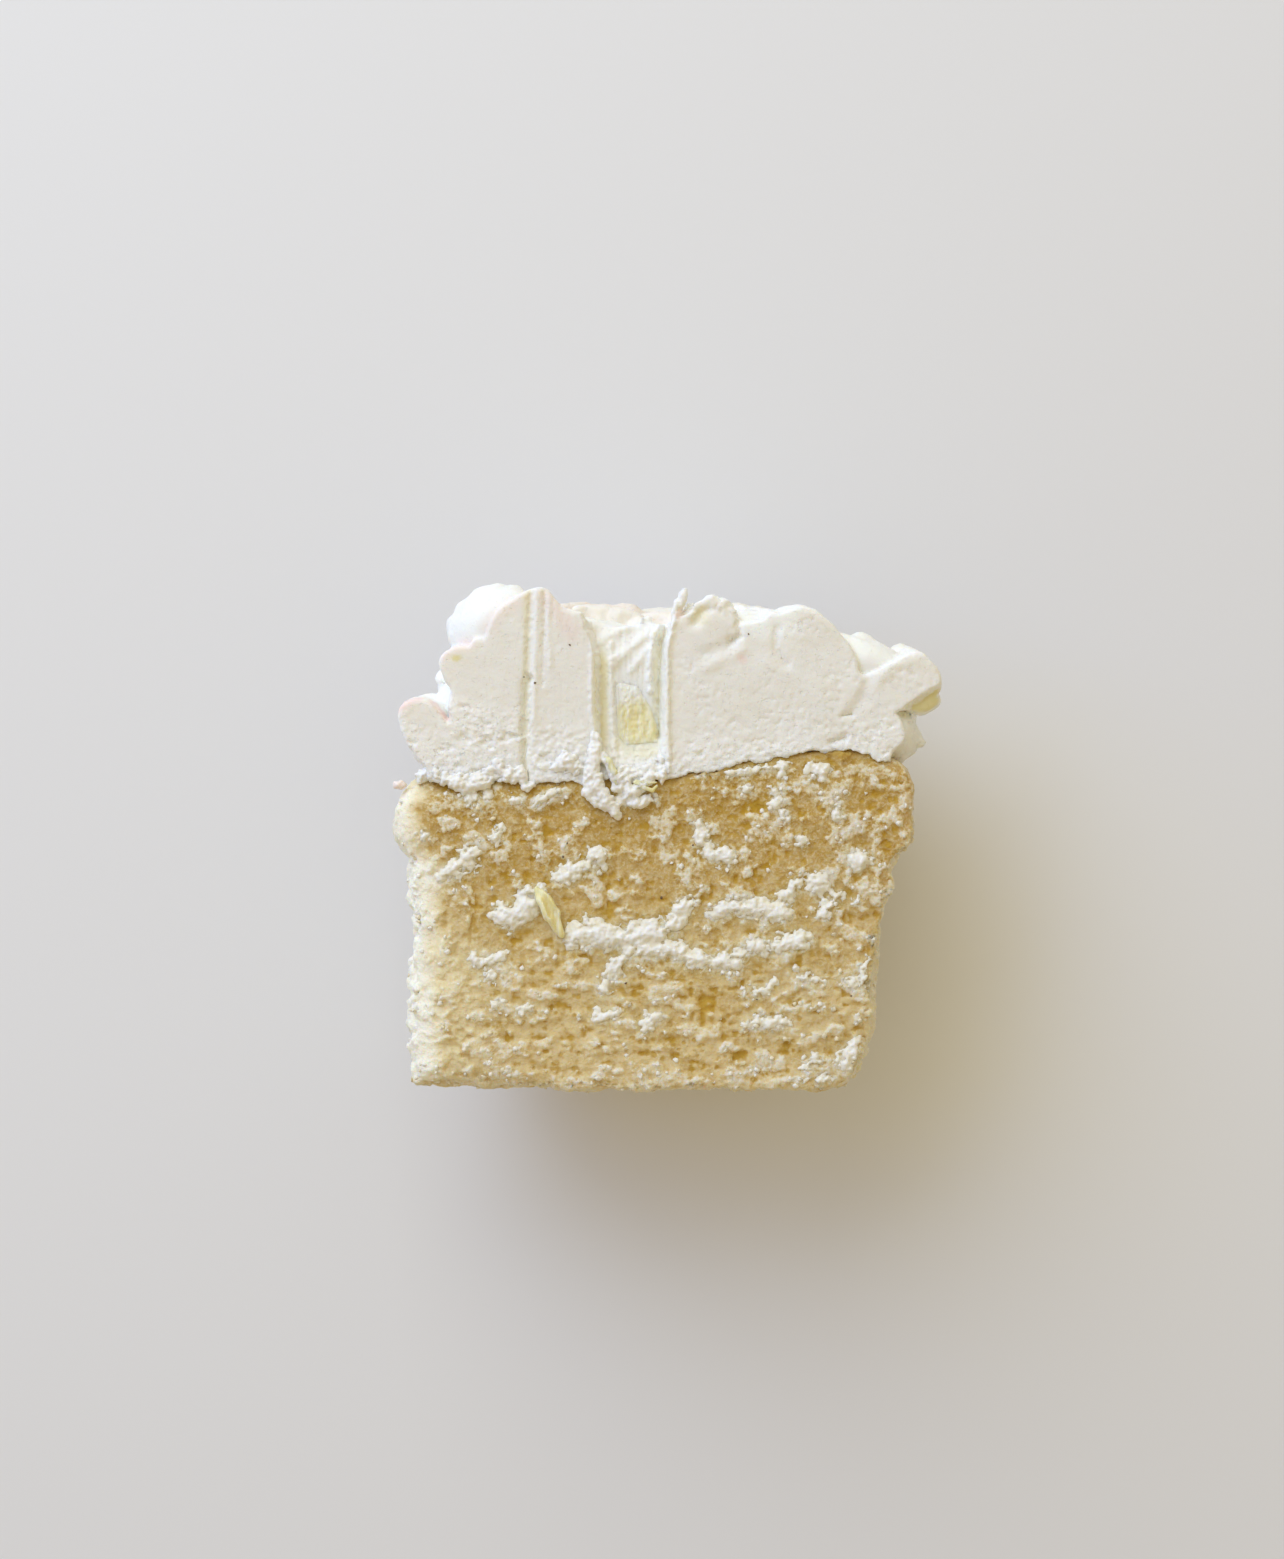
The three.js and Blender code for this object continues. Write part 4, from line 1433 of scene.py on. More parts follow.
@dataclass
class YellowCore:
    """The pale yellow buttercream that shows in the trough."""

    lie: Lie
    origin: Array
    icing: Buttercream
    step: float = 0.16

    # The core's outline on the cut face.
    OUTLINE = (
        (-4.7, 44.2), (-3.9, 44.7), (-1.7, 44.2), (-0.2, 41.8),
        (0.8, 39), (0.6, 37.4), (-3.3, 37), (-4.4, 38.2),
    )
    DEEPEST = 23.7
    GAP = 0.7  # how far the icing stays off the core's sides

    @classmethod
    def shape(cls, places: Array) -> Array:
        """Measures the distance to the core, before its top is cut."""
        beside = plan_distance(cls.OUTLINE, places[:, :2], 3.0)
        return smooth_max(beside, cls.DEEPEST - places[:, 2], 1.6)

    def field(self, places: Array) -> Array:
        """Measures the distance to the core."""
        above = places[:, 2] - self.lie.cut - self.icing.face.read(self.relief, places)
        return smooth_max(self.shape(places), above, 0.12)

    def build(self) -> None:
        """Makes the core."""
        face = self.icing.face
        fibres = 0.35 * face.rough(0.5, 3.2, 3, 0.6, 0.2) + 0.2 * face.rough(0.4, 0.4, 2)
        places = np.stack([face.x.ravel(), face.y.ravel()], axis=1)
        inside = -plan_distance(self.OUTLINE, places, 1.2).reshape(face.x.shape)
        rise = 0.34 * ease(0.05, 0.5, inside) - 0.26
        self.relief = np.minimum(self.icing.relief, -0.6) + rise + (fibres + 0.1) * ease(0.2, 1.1, inside)
        skin = wrap(self.field, (-6.2, 36.0, 23.0), (2.2, 46.2, 30.2), self.step)
        skin = settle(self.field, skin, 2, 0.15)
        inside = -plan_distance(self.OUTLINE, skin.places[:, :2], 3.0)
        grain = face.noise.layered(skin.places / 0.7, 2)
        top = ease(41.2, 42.8, skin.places[:, 1] + 1.2 * grain)
        white = np.maximum(0.4 * ease(1, 0.2, inside + 0.9 * grain), top)
        piece = skin.piece("icing_core", self.origin, YellowFinish().material(), {"edge": white})
        finished(piece, "yellow_buttercream", "yellow_core")


@dataclass
class KnifeMarks:
    """What the knife dragged over the cut face: smears, a tongue of icing, a yellow fleck and a pink one."""

    lie: Lie
    origin: Array
    sponge: Sponge
    step: float = 0.17

    BARE = -1.1  # the smears' thickness where there is none
    SUNK = 0.45  # how far they reach into the crumb
    REACH = 1.5  # how far they reach down the rounded edges
    TONGUES = (
        (-6.7, 38.4, 30.2, 0.6, -6.75, 36.6, 30.4, 0.75, -6.8, 34.2, 30.5, 0.95, -6.4, 32.6, 30.5, 0.95),
        (-6.4, 32.6, 30.5, 0.95, -5.3, 31.2, 30.5, 0.95, -4.4, 30.2, 30.4, 0.75, -3.9, 29.6, 30.3, 0.35),
        (-7.5, 33.8, 30.4, 0.6, -7.4, 32.4, 30.4, 0.7, -6.6, 31.4, 30.4, 0.6, -5.4, 30.4, 30.3, 0.4),
        (-5.9, 36.4, 30.3, 0.5, -5, 35.2, 30.6, 0.45, -4.5, 33.6, 30.6, 0.5, -4.3, 32.4, 30.4, 0.5),
    )
    FLUFF = (
        (-10.8, 35, 30.1, 0.8, -9.6, 35.6, 30, 1.1, -8.7, 34.8, 30.1, 0.9),
        (-3.8, 33.6, 30.3, 0.8, -2.6, 32.2, 30.3, 1, -1.6, 32.8, 30.3, 0.8, -0.4, 33.8, 30.3, 0.7),
        (-2.9, 31.6, 30.3, 0.6, -1.8, 31, 30.3, 0.8, -0.6, 31.6, 30.3, 0.5),
        (-3.6, 34.6, 29.7, 0.6, -2.4, 34.2, 29.8, 0.8, -1.2, 34.5, 29.7, 0.7, 0.6, 34.8, 29.7, 0.6),
        (0.6, 35.8, 29.8, 0.45, 0.9, 34.8, 30, 0.55, 0.8, 33.8, 30.1, 0.5),
        (-25.9, 33.9, 28.8, 0.7, -24.8, 34.5, 29.1, 0.9, -23.6, 34.1, 29.4, 1, -22.4, 33.6, 29.6, 1),
        (-21.8, 33.5, 29.5, 1.2, -20.6, 33, 29.5, 1.3, -19.4, 33.6, 29.5, 1.2, -18.2, 34.4, 29.5, 1.1),
        (-20.2, 32.4, 29.9, 0.5, -19.9, 31.7, 29.9, 0.6),
        (-15, 34.6, 29.8, 0.7, -14.3, 33, 29.9, 0.7, -13.6, 33.2, 29.9, 0.6),
        (-17.4, 35, 29.5, 1.1, -16.2, 34.4, 29.6, 1, -15.4, 33.8, 29.8, 0.7),
    )
    YELLOW_STRANDS = (
        (-2.2, 33.3, 31, 0.2, -1.2, 32.7, 31.15, 0.24, -0.3, 32.4, 31.1, 0.2, 0.2, 32.9, 31, 0.14),
        (-2.1, 33.5, 30.9, 0.14, -1, 33.2, 31, 0.18, 0.1, 33.3, 30.9, 0.12),
        (-5.7, 36.2, 30.5, 0.3, -5.1, 35.6, 30.8, 0.4, -4.5, 34.4, 30.9, 0.36, -4.2, 33.2, 30.7, 0.3),
    )
    FLECK = (
        (-13.0, 21.6, 30.4, 0.3), (-12.2, 20.4, 30.9, 0.75),
        (-11.4, 18.8, 30.9, 0.95), (-10.4, 16.6, 30.6, 0.45),
    )

    def layer(self) -> Array:
        """Draws how thick the smears lie on the sponge.

        Returns:
            One thickness a place of the face, negative where the sponge is bare.
        """
        face = self.sponge.face
        ragged = face.rough(0.8, 0.75, 3, 0.65)
        broken = face.rough(1.7, 1.5, 2)
        froth = face.rough(0.5, 0.5, 2, 0.6)
        layer = np.full(face.x.shape, self.BARE)
        for width, *line in SMEARS:
            part, distance = face.near(line, width + 1.4)
            share = 1.0 - (distance + 1.35 * ragged[part] + 0.7 * broken[part]) / (0.64 * width + 0.14)
            height = (0.3 + 0.15 * width) * np.clip(share, 0.0, 1.0)
            height += (0.2 * ragged[part] + 0.24 * froth[part]) * ease(0, 0.6, share)
            height = np.where(share > 0, height, self.BARE * ease(0, -0.4, share))
            layer[part] = np.maximum(layer[part], height)
        return layer - 0.7 * (self.sponge.relief - self.sponge.level)

    def field(self, places: Array) -> Array:
        """Measures the distance to the white marks.

        Args:
            places: Places of the cake.

        Returns:
            One distance a place.
        """
        face = self.sponge.face
        crumb = self.sponge.field(places)
        smear = smooth_max(crumb - face.read(self.thickness, places), -self.SUNK - crumb, 0.15)
        smear = smooth_max(smear, self.lie.cut - self.REACH - places[:, 2], 0.2)
        body = self.sponge.bodies.sponge_distance(self.lie.standing(places))
        smear = smooth_max(smear, body + 1.0 + 0.5 * face.read(self.fray, places), 0.3)
        warp = 0.5 * face.read(self.fray, places)
        for share, lines in ((0.75, self.TONGUES), (1.0, self.FLUFF)):
            for line in lines:
                smear = smooth_min(smear, strand(places, line) + share * warp, 0.22)
        return smear

    def build(self) -> None:
        """Makes the white smears, the yellow strands and the pink fleck."""
        face = self.sponge.face
        self.thickness = self.layer()
        self.fray = 1.3 * face.rough(1.3, 1.3, 3, 0.6) + 0.7 * face.rough(0.45, 0.45, 2, 0.6)
        skin = wrap(self.field, (-27.5, -0.8, 27.4), (26.5, 39.6, 32.0), self.step)
        skin = settle(self.field, skin, 1, 0.12)
        thin = ease(0.45, 0.05, self.sponge.field(skin.places))
        white = IcingFinish(plain=True).material()
        finished(skin.piece("buttercream_smears", self.origin, white, {"thin": thin}), "buttercream")
        skin = wrap(self.yellow_field, (-13.8, 15.8, 29.4), (1.0, 37.4, 32.2), 0.14)
        skin = settle(self.yellow_field, skin, 2, 0.12)
        yellow = YellowFinish().material()
        finished(skin.piece("yellow_petals", self.origin, yellow, {}), "yellow_buttercream")
        skin = wrap(self.pink_field, (-30.0, 31.8, 26.6), (-26.6, 34.4, 29.8), 0.12)
        skin = settle(self.pink_field, skin, 1, 0.1)
        pink = IcingFinish(plain=True, pink=0.35).material()
        finished(skin.piece("pink_fleck", self.origin, pink, {}), "buttercream")

    def yellow_field(self, places: Array) -> Array:
        """Measures the distance to the yellow strands and the curled fleck.

        Args:
            places: Places of the cake.

        Returns:
            One distance a place.
        """
        nearest = np.full(len(places), 9.0)
        for line in self.YELLOW_STRANDS:
            nearest = np.minimum(nearest, strand(places, line))
        fleck = strand(places, self.FLECK)
        fold = strand(places, [(x + 0.25, y + 0.1, z + 0.75, r * 0.62) for x, y, z, r in self.FLECK])
        fleck = smooth_max(fleck, -fold, 0.2)
        ruffle = 0.07 * np.sin(places[:, 1] * 2.9 + places[:, 0] * 3.7) + 0.05 * np.sin(places[:, 0] * 6.3)
        return smooth_min(nearest, fleck + ruffle, 0.1)

    def pink_field(self, places: Array) -> Array:
        """Measures the distance to the pink fleck on the left rim."""
        bumps = 0.08 * np.sin(places[:, 0] * 7.0) * np.cos(places[:, 1] * 6.0)
        return ellipsoid(places, (-28.3, 33.0, 28.2), (0.8, 0.5, 0.6)) + bumps


class Grow(Enum):
    """Where grains sit on the piece that carries them."""

    FACES = "faces"
    POINTS = "points"


@dataclass(frozen=True)
class Grains:
    """Small grains that geometry nodes scatter over a piece."""

    name: str
    slot: str
    grow: Grow
    smallest: float
    largest: float
    count: float = 1.0  # for each square metre of face
    flat: float = 0.5
    sides: int = 3
    seed: int = 4

    def tree(self) -> bpy.types.NodeTree:
        """Builds the scattering tree.

        Returns:
            The tree, with named inputs for the grains' sizes.
        """
        tree = bpy.data.node_groups.new(self.name, "GeometryNodeTree")
        sockets = dict.fromkeys(("Count", "Smallest", "Largest", "Flatness", "Roughness"), "Float")
        sockets = {"Geometry": "Geometry", **sockets, "Seed": "Int", "Finish": "Material"}
        for title, kind in sockets.items():
            tree.interface.new_socket(title, in_out="INPUT", socket_type=f"NodeSocket{kind}")
        tree.interface.new_socket("Geometry", in_out="OUTPUT", socket_type="NodeSocketGeometry")
        build = NodeBuilder(tree)
        given = build.add("NodeGroupInput")
        if self.grow is Grow.FACES:
            weight = build.add("GeometryNodeInputNamedAttribute", {"Name": "crumbs"})["Attribute"]
            held = {"Mesh": given["Geometry"], "Density": build.times(weight, given["Count"])}
            points = build.add("GeometryNodeDistributePointsOnFaces", {**held, "Seed": given["Seed"]})
            turn = points["Rotation"]
        else:
            points = build.add("GeometryNodeMeshToPoints", {"Mesh": given["Geometry"]})
            held = {0: (-3.1, -3.1, -3.1), 1: (3.1, 3.1, 3.1), "Seed": 11}
            turn = build.add("FunctionNodeRandomValue", held, data_type="FLOAT_VECTOR")[0]
        sides = dict.fromkeys(("Vertices X", "Vertices Y", "Vertices Z"), self.sides)
        cube = build.add("GeometryNodeMeshCube", {"Size": (1.0, 1.0, 1.0), **sides})["Mesh"]
        place = build.add("GeometryNodeInputPosition")["Position"]
        ball = build.vector("NORMALIZE", {0: place})
        ball = build.vector("SCALE", {0: ball, "Scale": 0.5})
        ball = build.add("ShaderNodeMix", {0: 0.7, 4: place, 5: ball}, data_type="VECTOR")[1]
        rounded = build.add("GeometryNodeSetPosition", {"Geometry": cube, "Position": ball})[0]
        size = build.random(given["Smallest"], given["Largest"], given["Seed"])
        wide = build.times(size, build.random(0.75, 1.2, 8))
        slim = build.times(size, build.random(given["Flatness"], 1.0, 7))
        scale = build.add("ShaderNodeCombineXYZ", {"X": wide, "Y": size, "Z": slim})["Vector"]
        held = {"Points": points["Points"], "Instance": rounded, "Rotation": turn, "Scale": scale}
        grains = build.add("GeometryNodeInstanceOnPoints", held)[0]
        held = {"Geometry": grains, "Name": "tone", "Value": build.random(0.0, 1.0, 12)}
        grains = build.add("GeometryNodeStoreNamedAttribute", held, domain="INSTANCE")[0]
        grains = build.add("GeometryNodeRealizeInstances", {"Geometry": grains})[0]
        bumps = build.add("ShaderNodeTexNoise", {"Vector": place, "Scale": 3100.0, "Detail": 1.0})["Color"]
        bumps = build.vector("SUBTRACT", {0: bumps, 1: (0.5, 0.5, 0.5)})
        bumps = build.vector("SCALE", {0: bumps, "Scale": given["Roughness"]})
        grains = build.add("GeometryNodeSetPosition", {"Geometry": grains, "Offset": bumps})[0]
        grains = build.add("GeometryNodeSetShadeSmooth", {"Geometry": grains})[0]
        grains = build.add("GeometryNodeSetMaterial", {"Geometry": grains, "Material": given["Finish"]})[0]
        build.add("NodeGroupOutput", {"Geometry": grains})
        return tree

    def scatter(self, carrier: Thing, material: Material) -> None:
        """Scatters the grains over a carrier, which is removed afterwards.

        Args:
            carrier: The object whose faces or points carry the grains.
            material: The grains' finish.
        """
        modifier = carrier.modifiers.new(self.name, "NODES")
        modifier.node_group = self.tree()
        values = {
            "Count": float(self.count),
            "Smallest": self.smallest * MILLIMETRE,
            "Largest": self.largest * MILLIMETRE,
            "Flatness": self.flat,
            "Roughness": 0.9 * self.largest * MILLIMETRE,
            "Seed": self.seed,
            "Finish": material,
        }
        for item in modifier.node_group.interface.items_tree:
            if item.in_out == "INPUT" and item.name in values:
                modifier[item.identifier] = values[item.name]
        mesh = baked(carrier)
        bpy.data.objects.remove(carrier)
        mesh.name = self.name
        finished(placed(self.name, mesh), self.slot)


class NodeBuilder:
    """Adds and joins nodes in a tree."""

    def __init__(self, tree: bpy.types.NodeTree) -> None:
        """Keeps the tree."""
        self.tree = tree

    def fill(self, value: object, target: Socket) -> None:
        """Joins an output to an input, or sets the input to a value or an opaque colour.

        Args:
            value: The value, or another node's output.
            target: The input.
        """
        if isinstance(value, Socket):
            self.tree.links.new(value, target)
        else:
            target.default_value = (*value, 1.0) if target.type == "RGBA" else value

    def add(self, kind: str, inputs: dict | None = None, **settings: object) -> bpy.types.NodeOutputs:
        """Adds a node.

        Args:
            kind: Its type.
            inputs: What its inputs take, each a value or another node's output.
            settings: Its properties.

        Returns:
            The node's outputs.
        """
        node = self.tree.nodes.new(kind)
        for title, value in settings.items():
            setattr(node, title, value)
        for title, value in (inputs or {}).items():
            self.fill(value, node.inputs[title])
        return node.outputs

    def math(self, operation: str, first: object, second: object) -> Socket:
        """Computes with two numbers, each a value or an output."""
        return self.add("ShaderNodeMath", {0: first, 1: second}, operation=operation)[0]

    def plus(self, first: object, second: object) -> Socket:
        """Adds two numbers."""
        return self.math("ADD", first, second)

    def minus(self, first: object, second: object) -> Socket:
        """Takes the second number from the first."""
        return self.math("SUBTRACT", first, second)

    def times(self, first: object, second: object) -> Socket:
        """Multiplies two numbers."""
        return self.math("MULTIPLY", first, second)

    def vector(self, operation: str, inputs: dict) -> Socket:
        """Computes with vectors."""
        return self.add("ShaderNodeVectorMath", inputs, operation=operation)[0]

    def random(self, low: object, high: object, seed: object) -> Socket:
        """Draws a number from low to high for each point."""
        return self.add("FunctionNodeRandomValue", {2: low, 3: high, "Seed": seed}, data_type="FLOAT")[1]


Colour = tuple[float, float, float]


class Dresser(NodeBuilder):
    """Builds one finish."""

    def __init__(self, name: str) -> None:
        """Starts an empty material.

        Args:
            name: The material's name.
        """
        self.made = bpy.data.materials.new(name)
        self.made.use_nodes = True
        super().__init__(self.made.node_tree)
        self.tree.nodes.clear()
        self.shader = self.tree.nodes.new("ShaderNodeBsdfPrincipled")
        self.add("ShaderNodeOutputMaterial", {"Surface": self.shader.outputs["BSDF"]})
        self.place = self.add("ShaderNodeTexCoord")["Object"]

    def tint(self, name: str) -> Socket:
        """Reads one of the piece's tints."""
        return self.add("ShaderNodeAttribute", attribute_name=name)["Fac"]

    def along(self, axis: str) -> Socket:
        """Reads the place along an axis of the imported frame, in metres."""
        return self.add("ShaderNodeSeparateXYZ", {0: self.place})[axis]

    def noise(
        self, size: float, detail: float = 3.0, rough: float = 0.55, stretch: Colour = (1, 1, 1)
    ) -> Socket:
        """Makes noise from 0 to 1.

        Args:
            size: Its lumps' size, in millimetres.
            detail: How many octaves it has.
            rough: The strength of each octave next to the one before it.
            stretch: How much finer the lumps are along each axis.

        Returns:
            The noise.
        """
        spots = self.add("ShaderNodeMapping", {"Vector": self.place, "Scale": stretch})["Vector"]
        held = {"Vector": spots, "Scale": 1.0 / (size * MILLIMETRE), "Detail": detail, "Roughness": rough}
        return self.add("ShaderNodeTexNoise", held)["Fac"]

    def cells(self, size: float) -> Socket:
        """Makes rounded cells, with the distance from each cell's middle."""
        held = {"Vector": self.place, "Scale": 1.0 / (size * MILLIMETRE), "Smoothness": 0.35}
        return self.add("ShaderNodeTexVoronoi", held, feature="SMOOTH_F1")["Distance"]

    def ease(self, value: object, start: float, end: float, low: float = 0.0, high: float = 1.0) -> Socket:
        """Eases a value from low at start to high at end."""
        held = {"Value": value, "From Min": start, "From Max": end, "To Min": low, "To Max": high}
        return self.add("ShaderNodeMapRange", held, interpolation_type="SMOOTHSTEP")["Result"]

    def blend(self, first: object, second: object, share: object) -> Socket:
        """Blends two colours by a share."""
        return self.add("ShaderNodeMix", {0: share, 6: first, 7: second}, data_type="RGBA")[2]

    def stain(
        self, base: object, colour: object, value: object, start: float, end: float, most: float = 1.0
    ) -> Socket:
        """Stains a colour with another one, by a share that eases from 0 at start to most at end."""
        return self.blend(base, colour, self.ease(value, start, end, 0.0, most))

    def relief(self, height: object, depth: float) -> None:
        """Gives the finish fine relief of a depth in millimetres."""
        held = {"Strength": 1.0, "Distance": depth * MILLIMETRE, "Height": height}
        self.fill(self.add("ShaderNodeBump", held)["Normal"], self.shader.inputs["Normal"])

    def wear(self, base: object, gloss: Point, glow: float = 0.0, reach: Colour = (1.0, 1.0, 1.0)) -> None:
        """Gives the finish its colour and shine, and lets light wander through it.

        Args:
            base: Its colour.
            gloss: How rough and how shiny it is.
            glow: How much of the light wanders.
            reach: How far its red, green and blue go, in millimetres.
        """
        values = {"Base Color": base, "Roughness": gloss[0], "Specular IOR Level": gloss[1]}
        values |= {"Subsurface Weight": glow, "Subsurface Radius": reach, "Subsurface Scale": MILLIMETRE}
        for title, value in values.items():
            self.fill(value, self.shader.inputs[title])


@dataclass(frozen=True)
class CrumbFinish:
    """Golden crumb with pale froth, deep gold pores that are partly painted shade, a browned crust and a
    painted highlight on the left edge.
    """

    low: Colour = (0.74, 0.575, 0.275)
    high: Colour = (0.535, 0.34, 0.085)
    pale: Colour = (0.81, 0.70, 0.44)
    white: Colour = (0.835, 0.78, 0.65)
    haze: Colour = (0.73, 0.61, 0.38)
    gold: Colour = (0.53, 0.34, 0.08)
    # Deep gold of the pores: partly the crumb's own colour, partly painted shade inside them.
    amber_pore_shade: Colour = (0.54, 0.32, 0.03)
    crown: Colour = (0.475, 0.295, 0.085)
    rim: Colour = (0.72, 0.60, 0.36)
    torn: Colour = (0.84, 0.73, 0.48)
    # The next two colours are the painted highlight of the lit left edge: cream, then near-white.
    cream: Colour = (0.93, 0.84, 0.54)
    painted_highlight: Colour = (0.985, 0.925, 0.75)

    def material(self) -> Material:
        """Makes the finish.

        Returns:
            The material.
        """
        dress = Dresser("Vanilla crumb")
        torn, crust, painted_highlight = (dress.tint(name) for name in ("torn", "crust", "painted_highlight"))
        patches = dress.noise(2.6, 4.0, 0.6)
        grain = dress.noise(0.85, 3.0, 0.6)
        fine = dress.noise(0.34, 2.0, 0.6)
        base = dress.stain(self.low, self.high, dress.along("Y"), -0.018, 0.002)
        base = dress.stain(base, self.gold, patches, 0.46, 0.66, 0.6)
        base = dress.stain(base, self.pale, grain, 0.44, 0.68, 0.3)
        base = dress.stain(base, self.haze, fine, 0.45, 0.63, 0.55)
        base = dress.blend(base, dress.stain(self.torn, self.pale, dress.noise(2.4), 0.4, 0.62), torn)
        # Rounded cells mark pores: tinted deep gold, partly as painted shade, and dented in the relief.
        pore = dress.plus(dress.cells(1.0), dress.times(dress.noise(2.6, 2.0), 1.1))
        pore = dress.ease(dress.plus(pore, dress.times(grain, 0.35)), 1.02, 0.74)
        worn = dress.math("MAXIMUM", torn, dress.ease(crust, 0.0, 0.2))
        pore = dress.times(pore, dress.minus(1.0, dress.times(worn, 0.8)))
        pores = dress.math("MAXIMUM", dress.tint("amber_pore_shade"), dress.times(pore, 0.85))
        base = dress.blend(base, self.amber_pore_shade, dress.times(pores, 0.9))
        froth = dress.plus(dress.times(dress.tint("pale"), 1.1), grain)
        froth = dress.minus(froth, dress.times(patches, 0.8))
        froth = dress.plus(froth, dress.times(dress.minus(fine, 0.5), 1.2))
        base = dress.stain(base, self.pale, froth, 0.35, 1.0, 0.8)
        base = dress.stain(base, self.white, froth, 0.7, 1.3, 0.9)
        rim = dress.stain(self.rim, self.crown, dress.noise(2.6, 5.0, 0.65), 0.44, 0.7)
        crown = dress.stain(self.crown, self.gold, dress.noise(2.5, 4.0), 0.45, 0.65)
        base = dress.blend(base, dress.blend(rim, crown, dress.tint("crown")), crust)
        # Painted highlight on the lit left edge.
        base = dress.stain(base, self.cream, painted_highlight, 0.0, 0.5, 0.6)
        base = dress.stain(base, self.painted_highlight, painted_highlight, 0.25, 1.0, 0.85)
        relief = dress.plus(grain, dress.times(fine, 0.7))
        dress.relief(dress.minus(relief, dress.times(pore, 0.4)), 0.2)
        dress.wear(base, (0.8, 0.1), 0.4, (2.6, 1.7, 0.8))
        return dress.made


@dataclass(frozen=True)
class LooseCrumbFinish:
    """Pale loose crumbs, a few of them more golden."""

    pale: Colour = (0.89, 0.84, 0.71)
    golden: Colour = (0.82, 0.71, 0.46)

    def material(self) -> Material:
        """Makes the finish.

        Returns:
            The material.
        """
        dress = Dresser("Loose crumbs")
        base = dress.stain(self.pale, self.golden, dress.tint("tone"), 0.45, 1.0)
        dress.relief(dress.noise(0.3, 2.0, 0.6), 0.08)
        dress.wear(base, (0.7, 0.3), 0.2, (0.4, 0.3, 0.2))
        return dress.made


@dataclass(frozen=True)
class IcingFinish:
    """Soft white buttercream: the whole icing, or plain smears that may be pink."""

    plain: bool = False
    pink: float = 0.0
    cut: Colour = (0.865, 0.83, 0.735)
    even: Colour = (0.875, 0.85, 0.77)
    light: Colour = (0.905, 0.885, 0.815)
    piped: Colour = (0.925, 0.92, 0.845)
    # Whiter torn icing: its froth, and partly a painted highlight of the sparkle on it.
    frothy_highlight: Colour = (0.95, 0.925, 0.85)
    # Darker, warmer cream for the lower piping: painted shade that tones down the lamp-lit sides towards the
    # table.
    cream: Colour = (0.83, 0.79, 0.68)
    rose: Colour = (0.90, 0.60, 0.52)
    # Yellow of the buttercream, also used as painted shade in the cut face's grooves and hollows.
    yellow: Colour = (0.80, 0.72, 0.33)
    thin: Colour = (0.88, 0.81, 0.62)

    def material(self) -> Material:
        """Makes the finish.

        Returns:
            The material.
        """
        dress = Dresser("Buttercream smears" if self.plain else "Buttercream")
        shade = dress.ease(dress.noise(2.2), 0.35, 0.7)
        if self.plain:
            base = dress.blend(self.even, self.light, shade)
            base = dress.blend(base, self.thin, dress.times(dress.tint("thin"), 0.85))
            if self.pink:
                base = dress.blend(base, self.rose, self.pink)
        else:
            cut = dress.blend(self.cut, self.even, shade)
            # Torn icing painted whiter: froth, and partly painted highlight.
            cut = dress.blend(cut, self.frothy_highlight, dress.times(dress.tint("torn"), 0.55))
            # Painted shade: the piped icing turns darker cream from 27 mm down to 13 mm above the table.
            piped = dress.stain(self.piped, self.cream, dress.along("Z"), 0.027, 0.013)
            base = dress.blend(piped, cut, dress.tint("cut"))
            # The yellow tint is partly painted shade in grooves and hollows.
            for name, colour, most in (("pink", self.rose, 0.42), ("yellow", self.yellow, 0.5)):
                base = dress.blend(base, colour, dress.times(dress.tint(name), most))
        pits = dress.ease(dress.noise(0.4, 2.0, 0.6), 0.62, 0.72, 0.0, 0.6)
        depth = 0.55 if self.plain else dress.ease(dress.tint("torn"), 0.0, 1.0, 0.5, 1.2)
        height = dress.minus(dress.noise(0.4 if self.plain else 0.55, 3.0, 0.65), pits)
        dress.relief(dress.times(height, depth), 0.14)
        dress.wear(base, (0.5, 0.35), 0.4, (0.6, 0.5, 0.35) if self.plain else (1.6, 1.3, 0.9))
        return dress.made


@dataclass(frozen=True)
class YellowFinish:
    """Pale yellow buttercream with deeper streaks."""

    pale: Colour = (0.86, 0.79, 0.47)
    deep: Colour = (0.81, 0.70, 0.31)
    white: Colour = (0.90, 0.87, 0.74)

    def material(self) -> Material:
        """Makes the finish.

        Returns:
            The material.
        """
        dress = Dresser("Yellow buttercream")
        base = dress.stain(self.pale, self.deep, dress.noise(1.1, 4.0, 0.65, (1.6, 0.45, 1.0)), 0.4, 0.68)
        base = dress.stain(base, self.white, dress.noise(0.8, 3.0, 0.6, (1.8, 0.3, 1.0)), 0.5, 0.62, 0.6)
        base = dress.blend(base, self.white, dress.tint("edge"))
        dress.relief(dress.noise(0.5, 3.0, 0.6, (1.8, 0.5, 1.0)), 0.12)
        dress.wear(base, (0.45, 0.4), 0.4, (1.6, 1.2, 0.5))
        return dress.made


@dataclass(frozen=True)
class SpeckFinish:
    """Dark specks of vanilla and browned sugar."""

    dark: Colour = (0.16, 0.10, 0.055)

    def material(self) -> Material:
        """Makes the finish.

        Returns:
            The material.
        """
        dress = Dresser("Vanilla specks")
        dress.wear(self.dark, (0.6, 0.3))
        return dress.made


